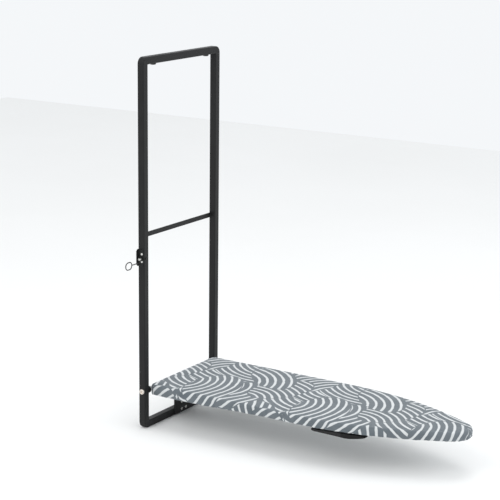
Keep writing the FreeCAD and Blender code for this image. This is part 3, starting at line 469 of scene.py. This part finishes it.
for entry in frame["record"]["subparts"]:
    paint(nodes[entry["node"]], slotFinish[entry["material_slot"]])
paint(nodes["pivot_bolts"], "nickelBolt")
print("camera, light and materials ready:", len(materials))


# --- mesh building ---

def gridFaces(rows, columns):
    # quads between neighbouring rows, closed round the columns
    index = np.arange(rows * columns).reshape(rows, columns)
    after = np.roll(index, -1, axis=1)
    return np.stack([index[:-1], index[1:], after[1:], after[:-1]], axis=-1).reshape(-1, 4)


def makeMesh(name, points, faces, flat=None):
    # welds points that coincide, turns quads with a welded side into triangles
    points = np.asarray(points, float).reshape(-1, 3)
    keys = np.round(points, 7)
    _, first, inverse = np.unique(keys, axis=0, return_index=True, return_inverse=True)
    inverse = inverse.ravel()
    kept = points[first]
    faces = inverse[faces]
    topClosed = faces[:, 0] == faces[:, 3]
    footClosed = faces[:, 1] == faces[:, 2]
    whole = faces[~topClosed & ~footClosed].tolist()
    whole += faces[topClosed & ~footClosed][:, [0, 1, 2]].tolist()
    whole += faces[footClosed & ~topClosed][:, [0, 1, 3]].tolist()
    mesh = bpy.data.meshes.new(name)
    mesh.from_pydata(kept.tolist(), [], whole)
    mesh.update()
    mesh.polygons.foreach_set("use_smooth", np.ones(len(mesh.polygons), bool))
    if flat is not None:
        corners = np.empty(len(mesh.loops), int)
        mesh.loops.foreach_get("vertex_index", corners)
        layer = mesh.uv_layers.new(name="clothFlat")
        layer.data.foreach_set("uv", np.asarray(flat, float).reshape(-1, 2)[first][corners].ravel())
    obj = bpy.data.objects.new(name, mesh)
    scene.collection.objects.link(obj)
    return obj, inverse


def finishPiece(obj, material, body):
    paint(obj, material)
    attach(obj, body)


def smoothByAngle(obj, degrees):
    # edges sharper than this stay sharp
    mesh = obj.data
    mesh.polygons.foreach_set("use_smooth", np.ones(len(mesh.polygons), bool))
    mesh.set_sharp_from_angle(angle=math.radians(degrees))


def applyModifiers(obj):
    graph = bpy.context.evaluated_depsgraph_get()
    mesh = bpy.data.meshes.new_from_object(obj.evaluated_get(graph))
    obj.modifiers.clear()
    obj.data = mesh


clothRun = {"quality": 5, "mass": 0.15}


def runCloth(obj, pinned, cap, spec):
    # cloth simulation for a set number of frames, at rest or not; each point is then
    # kept within cap of where it started
    group = obj.vertex_groups.new(name="held")
    for weight in np.unique(pinned):
        group.add(np.nonzero(pinned == weight)[0].tolist(), float(weight), "REPLACE")
    cloth = obj.modifiers.new("cloth", "CLOTH")
    cloth.settings.quality = clothRun["quality"]
    cloth.settings.mass = clothRun["mass"]
    cloth.settings.vertex_group_mass = "held"
    cloth.settings.effector_weights.gravity = 0
    cloth.settings.use_pressure = spec["pressure"] > 0
    cloth.settings.uniform_pressure_force = spec["pressure"]
    cloth.settings.shrink_min = -spec["slack"]
    cloth.settings.tension_stiffness = spec["stiffness"]
    cloth.settings.compression_stiffness = spec["stiffness"]
    cloth.settings.bending_stiffness = spec["bending"]
    cloth.point_cache.frame_start = 1
    cloth.point_cache.frame_end = spec["frames"]
    before = readPoints(obj.data)
    for number in range(1, spec["frames"] + 1):
        scene.frame_set(number)
    graph = bpy.context.evaluated_depsgraph_get()
    after = readPoints(obj.evaluated_get(graph).data)
    scene.frame_set(1)
    move = after - before
    length = np.linalg.norm(move, axis=1, keepdims=True)
    limit = np.minimum(1, cap / np.maximum(length, 1e-9))
    obj.modifiers.clear()
    obj.vertex_groups.clear()
    writePoints(obj.data, before + move * limit)


def readPoints(mesh):
    points = np.empty(len(mesh.vertices) * 3)
    mesh.vertices.foreach_get("co", points)
    return points.reshape(-1, 3)


def writePoints(mesh, points):
    mesh.vertices.foreach_set("co", points.ravel())
    mesh.update()


def waves(along, lengths, phases):
    # sum of sines of the given wavelengths, each with its own phase, divided by their number
    total = sum(np.sin(2 * math.pi * along / length + phase)
                for length, phase in zip(lengths, phases))
    return total / len(lengths)


def smoothStep(value, low, high):
    share = np.clip((value - low) / (high - low), 0, 1)
    return share * share * (3 - 2 * share)


# --- board outline ---

boardShape = {
    "taperStart": 0.465, "taperRadius": 0.820, "rearCorner": 0.013,
    "samples": 720, "earSlot": (0.1472, 0.1518),
}
coverLow, coverHigh = [np.array(corner, float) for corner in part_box("fabric_cover")]
padLow, padHigh = [np.array(corner, float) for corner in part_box("foam_pad")]


def boardOutline(spec):
    # arcs are centre + radius (cos a, sin a), lines run between them; the far half mirrors the near
    rear, reach, half = coverLow[0], coverHigh[0], coverHigh[1]
    start, wide, corner = spec["taperStart"], spec["taperRadius"], spec["rearCorner"]
    rise, back = wide - half, reach - wide
    noseAt = (start ** 2 + rise ** 2 - back ** 2) / (2 * (start - back))
    lean = math.atan2(noseAt - start, rise)
    part = np.linspace(0, 1, 600)[:, None]
    flatOut = np.ones_like(part)

    def line(first, last, out):
        return np.hstack([first + (np.array(last) - first) * part, flatOut * out])

    def arc(centre, radius, first, last):
        angle = first + (last - first) * part
        out = np.hstack([np.cos(angle), np.sin(angle)])
        return np.hstack([centre + radius * out, out])

    near = np.vstack([
        line(np.array([rear, 0]), [rear, corner - half], np.array([-1, 0])),
        arc(np.array([rear + corner, corner - half]), corner, math.pi, 1.5 * math.pi),
        line(np.array([rear + corner, -half]), [start, -half], np.array([0, -1])),
        arc(np.array([start, rise]), wide, -math.pi / 2, lean - math.pi / 2),
        arc(np.array([noseAt, 0]), reach - noseAt, lean - math.pi / 2, 0),
    ])
    far = near[::-1] * np.array([1, -1, 1, -1])
    curve = np.vstack([near, far])
    steps = np.hypot(*np.diff(curve[:, :2], axis=0).T)
    along = np.concatenate([[0], np.cumsum(steps)])
    fresh = np.concatenate([[True], steps > 1e-9])
    return along[fresh], curve[fresh], noseAt


outlineAlong, outlineCurve, noseCentre = boardOutline(boardShape)
outlineLength = outlineAlong[-1]


def slotPlaces(spec):
    # distances along the outline where the rear corners cross the hinge ears' planes
    corner = outlineCurve[:, 0] < coverLow[0] + spec["rearCorner"]
    firstHalf = corner & (outlineAlong < outlineLength / 2)
    depth = -outlineCurve[firstHalf, 1]
    near = [float(np.interp(value, depth, outlineAlong[firstHalf])) for value in spec["earSlot"]]
    return sorted(near + [outlineLength - value for value in near])


def outlineStations(spec):
    even = np.arange(spec["samples"]) * outlineLength / spec["samples"]
    special = np.array(slotPlaces(spec))
    apart = np.abs(even[:, None] - special[None, :]).min(axis=1)
    return np.sort(np.concatenate([even[apart > 0.0009], special]))


stations = outlineStations(boardShape)
edgePoints = np.stack([np.interp(stations, outlineAlong, outlineCurve[:, k]) for k in (0, 1)], axis=1)
edgeOut = np.stack([np.interp(stations, outlineAlong, outlineCurve[:, k]) for k in (2, 3)], axis=1)
edgeOut /= np.linalg.norm(edgeOut, axis=1, keepdims=True)
spine = np.stack([np.clip(edgePoints[:, 0], coverLow[0] + 0.155, noseCentre),
                  np.zeros(len(stations))], axis=1)


def ringRow(inset, height):
    # the outline moved in along its own normals, at a height
    flat = edgePoints - edgeOut * np.broadcast_to(inset, len(stations))[:, None]
    return np.column_stack([flat, np.broadcast_to(height, len(stations))])


def fanRow(share, inset, height):
    # a row that lies between the spine and the inset outline
    flat = edgePoints - edgeOut * inset
    return np.column_stack([spine + (flat - spine) * share, np.full(len(stations), height)])


# --- pad under the cover ---

# the pressed pad doesn't come to rest: nearly every free point goes to the cap, so the cap
# sets the height of its crown
padding = {
    "edgeRadius": 0.0045, "inset": 0.0018, "topRows": 16, "edgeRows": 4, "footRows": 6,
    "cap": 0.0011, "pressure": 4.0, "slack": 0.0, "stiffness": 15.0, "bending": 0.5, "frames": 20,
}


def makePad(spec):
    # closed cushion: a fan from the spine, a quarter round at the edge, a flat foot
    radius, inset = spec["edgeRadius"], spec["inset"]
    share = 1 - (1 - np.linspace(0, 1, spec["topRows"])) ** 1.4
    rows = [fanRow(value, inset + radius, padHigh[2]) for value in share]
    angles = np.linspace(0, math.pi / 2, spec["edgeRows"] + 1)[1:]
    rows += [ringRow(inset + radius * (1 - math.sin(a)), padHigh[2] - radius * (1 - math.cos(a)))
             for a in angles]
    topCount = len(rows)
    rows += [fanRow(value, inset, padLow[2]) for value in np.linspace(1, 0, spec["footRows"])]
    points = np.stack(rows)
    obj, index = makeMesh("padFelt", points, gridFaces(len(rows), len(stations)))
    pinned = np.zeros(len(obj.data.vertices))
    grid = index.reshape(len(rows), -1)
    pinned[grid[topCount:].ravel()] = 1.0
    runCloth(obj, pinned, spec["cap"], spec)
    top = readPoints(obj.data)[grid[:topCount]]
    finishPiece(obj, "foamFelt", "board")
    return obj, top


padFelt, padTop = makePad(padding)
print("pad raised as far as its cap, highest point %.1f mm over its CAD height" % (
    (padTop[..., 2].max() - padHigh[2]) / millimetre))

# --- printed cover ---

coverCloth = {
    "gap": 0.0011, "thickness": 0.0009, "skirtRows": 10, "rollRadius": 0.0024, "rollRows": 4,
    "lipEnd": 0.0097, "lipRows": 3, "channelRadius": 0.0021, "channelRows": 8,
    "hemLower": 0.0040, "hemRise": 0.0065, "riseFrom": 0.12, "riseTo": 0.40,
    "swell": 0.0010, "swellLengths": (0.111, 0.067, 0.043, 0.029), "swellPhases": (0.4, 2.1, 4.0, 1.2),
    "gather": 0.0005, "gatherPitch": 0.0118, "gatherLengths": (0.083, 0.052), "gatherPhases": (0.0, 2.0),
    "gatherDrift": 2.2, "noseGather": 1.6, "cornerGather": 1.2, "cornerWide": 0.020, "cornerLong": 0.045,
    "draw": 0.0009, "ripple": 0.6, "channelTurn": 1.35, "earBand": 0.0125, "earMargin": 0.0015,
    "cap": 0.0012, "pressure": 0.0, "slack": 0.012, "stiffness": 12.0, "bending": 0.3, "frames": 20,
}


def gridNormals(points):
    down = np.gradient(points, axis=0)
    across = (np.roll(points, -1, axis=1) - np.roll(points, 1, axis=1)) / 2
    normal = np.cross(down, across)
    return normal / np.maximum(np.linalg.norm(normal, axis=2, keepdims=True), 1e-12)


def coverRows(spec):
    # top: the pad's surface moved out by gap; skirt: falls to the hem with slow swells;
    # hem: quarter roll, lip, and a round channel for the drawcord
    normals = gridNormals(padTop)
    normals[0] = (0, 0, 1)
    normals[-1, :, 2] = 0
    normals[-1] /= np.linalg.norm(normals[-1], axis=1, keepdims=True)
    top = padTop + normals * spec["gap"]
    hem = coverLow[2] - spec["hemLower"] + spec["hemRise"] * smoothStep(
        edgePoints[:, 0], spec["riseFrom"], spec["riseTo"])
    atCorner = (np.abs(edgePoints[:, 1]) > coverHigh[1] - spec["cornerWide"]) * (
        edgePoints[:, 0] < spec["cornerLong"])
    bend = 1 + spec["noseGather"] * (edgePoints[:, 0] > noseCentre) + spec["cornerGather"] * atCorner
    swell = waves(stations, spec["swellLengths"], spec["swellPhases"]) * spec["swell"] * 2
    drift = spec["gatherDrift"] * waves(stations, spec["gatherLengths"], spec["gatherPhases"])
    folds = np.sin(2 * math.pi * stations / spec["gatherPitch"] + drift) * spec["gather"] * bend
    lastHeight = top[-1, :, 2]
    lastInset = padding["inset"] - spec["gap"]
    radius = spec["rollRadius"]
    rows = []
    for share in np.linspace(0, 1, spec["skirtRows"] + 1)[1:]:
        inset = lastInset + spec["draw"] * share ** 2 - swell * share - folds * share ** 3
        rows.append(ringRow(inset, lastHeight + (hem + radius - lastHeight) * share))
    skirtCount = len(rows)
    foot = lastInset + spec["draw"] - swell - folds
    for angle in np.linspace(0, math.pi / 2, spec["rollRows"] + 1)[1:]:
        rows.append(ringRow(foot + radius * (1 - math.cos(angle)),
                            hem + radius - radius * math.sin(angle)))
    for share in np.linspace(0, 1, spec["lipRows"] + 1)[1:]:
        rows.append(ringRow(foot + radius + (spec["lipEnd"] - foot - radius) * share - folds * share,
                            hem + folds * spec["ripple"] * share))
    ring = spec["channelRadius"]
    for angle in np.linspace(0, spec["channelTurn"] * math.pi, spec["channelRows"] + 1)[1:]:
        rows.append(ringRow(spec["lipEnd"] + ring * math.sin(angle) - folds,
                            hem + ring * (1 - math.cos(angle)) + folds * spec["ripple"]))
    return np.concatenate([top, np.stack(rows)]), len(top), skirtCount


def flatCoordinates(points):
    # where each point lay on the flat cloth: as seen from above up to the edge, then straight out
    flat = points[..., :2].copy()
    last = padding["topRows"] - 1
    steps = np.linalg.norm(np.diff(points[last:], axis=0), axis=2)
    out = np.cumsum(steps, axis=0)
    flat[last + 1:] = points[last][None, :, :2] + edgeOut[None] * out[..., None]
    return flat


def cutEarSlots(obj, grid, topCount, spec):
    # takes out the cloth where the two hinge ears pass through the rear corners
    places = slotPlaces(boardShape)
    columns = []
    for first, last in ((places[0], places[1]), (places[2], places[3])):
        columns += np.nonzero((stations > first - 1e-6) & (stations < last - 1e-6))[0].tolist()
    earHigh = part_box("hinge_ear_left")[1]
    points = readPoints(obj.data)
    heights = points[grid[:, columns[0]], 2]
    lowest, highest = earHigh[2] - spec["earBand"], earHigh[2] + spec["earMargin"]
    rows = [row for row in range(topCount - 1, topCount + spec["skirtRows"])
            if lowest < (heights[row] + heights[row + 1]) / 2 < highest]
    wanted = set()
    for row in rows:
        for column in columns:
            after = (column + 1) % grid.shape[1]
            wanted.add(frozenset((grid[row, column], grid[row + 1, column],
                                  grid[row, after], grid[row + 1, after])))
    gone = [polygon.index for polygon in obj.data.polygons
            if frozenset(polygon.vertices) in wanted]
    work = bmesh.new()
    work.from_mesh(obj.data)
    work.faces.ensure_lookup_table()
    bmesh.ops.delete(work, geom=[work.faces[index] for index in gone], context="FACES")
    work.to_mesh(obj.data)
    work.free()
    return len(gone)


def makeCover(spec):
    points, topCount, skirtCount = coverRows(spec)
    flat = flatCoordinates(points)
    obj, index = makeMesh("printedCover", points, gridFaces(len(points), len(stations)), flat)
    grid = index.reshape(len(points), -1)
    held = np.ones(len(obj.data.vertices))
    free = np.concatenate([np.linspace(0.9, 0.0, 4), np.zeros(skirtCount - 4 + 1)])
    held[grid[topCount - 4:topCount + skirtCount - 3].ravel()] = np.repeat(
        free[:grid[topCount - 4:topCount + skirtCount - 3].shape[0]], grid.shape[1])
    runCloth(obj, held, spec["cap"], spec)
    gone = cutEarSlots(obj, grid, topCount, spec)
    solid = obj.modifiers.new("thickness", "SOLIDIFY")
    solid.thickness = spec["thickness"]
    solid.offset = -1
    applyModifiers(obj)
    finishPiece(obj, "printedCotton", "board")
    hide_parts("foam_pad", "fabric_cover", "hem_cord")


makeCover(coverCloth)

# --- moulded grip ---

gripShape = {
    "tilt": 9.4, "outer": 0.003, "width": 0.030, "left": -0.075, "right": 0.075, "top": -0.0095,
    # places along the grip and how deep its underside hangs there
    "belly": ((-0.075, -0.0120), (-0.070, -0.0158), (-0.030, -0.0192), (0.000, -0.0218),
              (0.012, -0.0235), (0.029, -0.0235), (0.045, -0.0210), (0.060, -0.0180),
              (0.071, -0.0150), (0.075, -0.0120)),
    "square": 5.0, "endSquare": 16.0, "rows": 90, "columns": 48,
    "postHalf": (0.0088, 0.0075), "postPlaces": (-0.061, 0.061), "postAcross": 0.02525,
    "postFoot": -0.0125, "postTop": 0.0068, "flare": 0.16,
    "pocketRadius": 0.0039, "pocketTop": -0.0120, "pocketFoot": -0.040,
    "spread": 0.8, "fineCount": 400, "blur": 31, "narrowEnd": 0.20,
    "sharpAngle": 35, "flareReach": 0.0035, "postRows": 14, "postColumns": 32,
}
gripLow, gripHigh = [np.array(corner, float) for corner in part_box("handle_grip")]
pivotHeight = next(j for j in frame["record"]["behaviour"]["joints"]
                   if j["name"] == "board_fold")["pos_m"][2]


def gripPlace(spec, along, across, up):
    # from the grip's own axes to the row's: a turn by the tilt about its middle
    turn = math.radians(spec["tilt"])
    middle = (gripLow + gripHigh) / 2
    shift = spec["outer"] + spec["width"] / 2
    across = across - shift
    return np.stack([middle[0] + along * math.cos(turn) - across * math.sin(turn),
                     middle[1] + along * math.sin(turn) + across * math.cos(turn),
                     pivotHeight + up + 0 * along], axis=-1)


def roundedLoop(count, square):
    # superellipse |x|^n + |y|^n = 1, walked clockwise
    angle = np.linspace(0, -2 * math.pi, count, endpoint=False)
    power = 2 / square
    return (np.sign(np.cos(angle)) * np.abs(np.cos(angle)) ** power,
            np.sign(np.sin(angle)) * np.abs(np.sin(angle)) ** power)


def makeGrip(spec):
    # rounded section carried along the grip; its height follows the belly and
    # both ends close as (1 - |t|^m)^(1/m)
    t = np.sin(np.linspace(-math.pi / 2, math.pi / 2, spec["rows"]))
    t = np.sign(t) * np.abs(t) ** spec["spread"]
    along = (spec["left"] + spec["right"]) / 2 + t * (spec["right"] - spec["left"]) / 2
    closing = (1 - np.abs(t) ** spec["endSquare"]) ** (1 / spec["endSquare"])
    places, depths = np.array(spec["belly"]).T
    fine = np.linspace(places[0], places[-1], spec["fineCount"])
    belly = np.interp(fine, places, depths)
    kernel = np.hanning(spec["blur"])
    padded = np.pad(belly, spec["blur"] // 2, mode="edge")
    smooth = np.convolve(padded, kernel / kernel.sum(), mode="valid")
    foot = np.interp(along, fine, smooth)
    middle, half = (spec["top"] + foot) / 2, (spec["top"] - foot) / 2 * closing
    sideways, upright = roundedLoop(spec["columns"], spec["square"])
    narrow = spec["narrowEnd"]
    width = spec["width"] / 2 * (1 - narrow + narrow * closing) * closing
    across = spec["outer"] + spec["width"] / 2 + width[:, None] * sideways
    up = middle[:, None] + half[:, None] * upright
    points = gripPlace(spec, along[:, None] + 0 * across, across, up)
    obj, _ = makeMesh("gripShell", points, gridFaces(spec["rows"], spec["columns"]))
    cutters = []
    for place in spec["postPlaces"]:
        cutter = makeColumn(spec, "pocketCutter", place, (spec["pocketRadius"],) * 2, 2.0,
                            spec["pocketFoot"], spec["pocketTop"], 0.0)
        cutters.append(cutter)
        cut = obj.modifiers.new("pocket", "BOOLEAN")
        cut.operation = "DIFFERENCE"
        cut.solver = "EXACT"
        cut.object = cutter
    applyModifiers(obj)
    for cutter in cutters:
        bpy.data.objects.remove(cutter)
    smoothByAngle(obj, spec["sharpAngle"])
    finishPiece(obj, "gripPlastic", "board")
    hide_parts("handle_grip")


def makeColumn(spec, name, place, half, square, foot, top, flare):
    # an upright superellipse column, wider by flare at its foot, closed at both ends
    heights = np.concatenate([[foot], np.linspace(foot, top, spec["postRows"]), [top]])
    spread = 1 + flare * np.exp(-(heights - foot) / spec["flareReach"])
    spread[0] = spread[-1] = 0
    alongLoop, acrossLoop = roundedLoop(spec["postColumns"], square)
    along = place + half[0] * spread[:, None] * alongLoop
    across = spec["postAcross"] + half[1] * spread[:, None] * acrossLoop
    points = gripPlace(spec, along, across, heights[:, None] + 0 * along)
    return makeMesh(name, points, gridFaces(len(heights), spec["postColumns"]))[0]


def makeGripPosts(spec):
    for label, place in zip(("gripPostA", "gripPostB"), spec["postPlaces"]):
        post = makeColumn(spec, label, place, spec["postHalf"], spec["square"],
                          spec["postFoot"], spec["postTop"], spec["flare"])
        smoothByAngle(post, spec["sharpAngle"])
        finishPiece(post, "gripPlastic", "board")


makeGrip(gripShape)
makeGripPosts(gripShape)
print("grip moulded")

# --- weld beads on the frame ---

beadShape = {
    "radius": 0.0017, "ripple": 0.13, "ripplePitch": 0.0021, "step": 0.0004, "columns": 12,
    "cornerFrom": 0.0035, "cornerTo": 0.0165, "lugIn": 0.0006, "lugOut": 0.0012,
}


def tubeAlong(path, radius, columns):
    # circle carried along a path; a radius of 0 closes an end
    heading = np.gradient(path, axis=0)
    heading /= np.linalg.norm(heading, axis=1, keepdims=True)
    guide = np.where(np.abs(heading[:, 2:3]) > 0.9, np.array([[1.0, 0, 0]]), np.array([[0, 0, 1.0]]))
    side = np.cross(heading, guide)
    side /= np.linalg.norm(side, axis=1, keepdims=True)
    rise = np.cross(side, heading)
    angle = np.linspace(0, -2 * math.pi, columns, endpoint=False)
    turnCos, turnSin = np.cos(angle)[None, :, None], np.sin(angle)[None, :, None]
    ring = side[:, None] * turnCos + rise[:, None] * turnSin
    return path[:, None] + ring * radius[:, None, None]


def combine(grids):
    # several grids as one list of points and faces
    points, faces, count = [], [], 0
    for grid in grids:
        faces.append(gridFaces(*grid.shape[:2]) + count)
        points.append(grid.reshape(-1, 3))
        count += len(points[-1])
    return np.vstack(points), np.vstack(faces)


def beadAlong(spec, first, last):
    # overlapping puddles: radius (1 + ripple |sin|), closing over one radius at each end
    first, last = np.array(first, float), np.array(last, float)
    length = np.linalg.norm(last - first)
    run = np.linspace(0, 1, max(8, int(length / spec["step"])))
    path = first + (last - first) * run[:, None]
    short = np.clip(1 - np.minimum(run, 1 - run) * length / spec["radius"], 0, 1)
    ends = np.sqrt(np.clip(1 - short ** 2, 0, 1))
    ripple = 1 + spec["ripple"] * np.abs(np.sin(math.pi * run * length / spec["ripplePitch"]))
    return tubeAlong(path, spec["radius"] * ends * ripple, spec["columns"])


def makeWelds(spec):
    barLow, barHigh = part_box("crossbar")
    lugLow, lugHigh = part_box("bracket_lug")
    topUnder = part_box("top_rail")[0][2]
    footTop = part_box("bottom_rail")[1][2]
    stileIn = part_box("stile_right")[0][1]
    beads = []
    for side in (-1, 1):
        across = side * stileIn
        beads.append(beadAlong(spec, (barHigh[0], across, barLow[2]), (barHigh[0], across, barHigh[2])))
        for height in (barLow[2], barHigh[2]):
            beads.append(beadAlong(spec, (barLow[0], across, height), (barHigh[0], across, height)))
        for height in (topUnder, footTop):
            beads.append(beadAlong(spec, (spec["cornerFrom"], across, height),
                                   (spec["cornerTo"], across, height)))
        beads.append(beadAlong(spec, (lugLow[0] + spec["lugIn"], side * lugHigh[1], lugLow[2]),
                               (lugHigh[0] - spec["lugOut"], side * lugHigh[1], lugLow[2])))
    beads.append(beadAlong(spec, (lugLow[0], lugLow[1], lugLow[2]), (lugLow[0], lugHigh[1], lugLow[2])))
    obj, _ = makeMesh("weldBeads", *combine(beads))
    finishPiece(obj, "powderBlack", "frame")
    return len(beads)


print("weld beads:", makeWelds(beadShape))

# --- latch spring ---

coilShape = {"turns": 5, "radius": 0.0040, "wire": 0.00045, "pointsPerTurn": 40, "columns": 10}


def makeLatchSpring(spec):
    # helix (r cos a, a pitch / 2 pi, r sin a) with a round wire
    low, high = [np.array(corner, float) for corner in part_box("latch_spring")]
    angle = np.linspace(0, 2 * math.pi * spec["turns"], spec["turns"] * spec["pointsPerTurn"])
    run = angle / angle[-1]
    start, end = low[1] + spec["wire"], high[1] - spec["wire"]
    path = np.stack([(low[0] + high[0]) / 2 + spec["radius"] * np.cos(angle),
                     start + (end - start) * run,
                     (low[2] + high[2]) / 2 + spec["radius"] * np.sin(angle)], axis=1)
    radius = np.full(len(path), spec["wire"])
    radius[[0, -1]] = 0
    points = tubeAlong(path, radius, spec["columns"])
    obj, _ = makeMesh("latchSpring", points, gridFaces(*points.shape[:2]))
    finishPiece(obj, "blackOxide", "frame")
    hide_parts("latch_spring")
    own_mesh(obj)


makeLatchSpring(coilShape)
print("latch spring wound")

# --- hem stitching ---

stitchShape = {
    "length": 0.0030, "pitch": 0.0042, "radius": 0.00032, "inset": 0.0068, "sink": 0.0001,
    "rows": 7, "columns": 6,
}


def makeStitches(spec):
    # short rounded threads end to end along the lip of the hem: an ellipsoid at each place
    count = int(outlineLength / spec["pitch"])
    places = (np.arange(count) + 0.5) * outlineLength / count
    spot = [np.interp(places, outlineAlong, outlineCurve[:, k]) for k in range(4)]
    lift = coverCloth["hemRise"] * smoothStep(spot[0], coverCloth["riseFrom"], coverCloth["riseTo"])
    height = coverLow[2] - coverCloth["hemLower"] + lift - spec["sink"]
    centre = np.stack([spot[0] - spot[2] * spec["inset"],
                       spot[1] - spot[3] * spec["inset"], height], axis=1)
    out = np.stack([spot[2], spot[3], 0 * spot[2]], axis=1)
    ahead = np.stack([-spot[3], spot[2], 0 * spot[2]], axis=1)
    polar = np.linspace(0, math.pi, spec["rows"])
    turn = np.linspace(0, -2 * math.pi, spec["columns"], endpoint=False)
    x = -np.cos(polar)[:, None] * spec["length"] / 2 + 0 * turn
    y = np.sin(polar)[:, None] * np.cos(turn) * spec["radius"]
    z = np.sin(polar)[:, None] * np.sin(turn) * spec["radius"]
    ball = (x[None, ..., None] * ahead[:, None, None] + y[None, ..., None] * out[:, None, None])
    points = centre[:, None, None] + ball
    points[..., 2] += z[None]
    one = gridFaces(spec["rows"], spec["columns"])
    faces = (one[None] + (np.arange(count) * spec["rows"] * spec["columns"])[:, None, None]).reshape(-1, 4)
    obj, _ = makeMesh("hemStitches", points, faces)
    finishPiece(obj, "whiteThread", "board")
    return count


print("stitches:", makeStitches(stitchShape))

# --- floor ---

def makeFloor(spec):
    half = spec["floorSize"] / 2
    foot = cadBox[0][2]
    corners = np.array([(-1, -1), (1, -1), (1, 1), (-1, 1)]) * half
    points = np.column_stack([corners, np.full(4, foot)])
    mesh = bpy.data.meshes.new("studioFloor")
    mesh.from_pydata(points.tolist(), [], [(0, 1, 2, 3)])
    obj = bpy.data.objects.new("studioFloor", mesh)
    scene.collection.objects.link(obj)
    material, tree, shader, point = startMaterial("paleFloor", roughness=0.85, specular=0.2)
    look = useGroup(tree, "surfaceGrain", point=point, fine=60.0, slow=0.8)
    color = blendColor(tree, look["Mottle"], (0.88, 0.88, 0.87, 1), spec["floorColor"])
    tree.links.new(color, shader.inputs["Base Color"])
    mesh.materials.append(material)


makeFloor(studio)
print("floor laid")
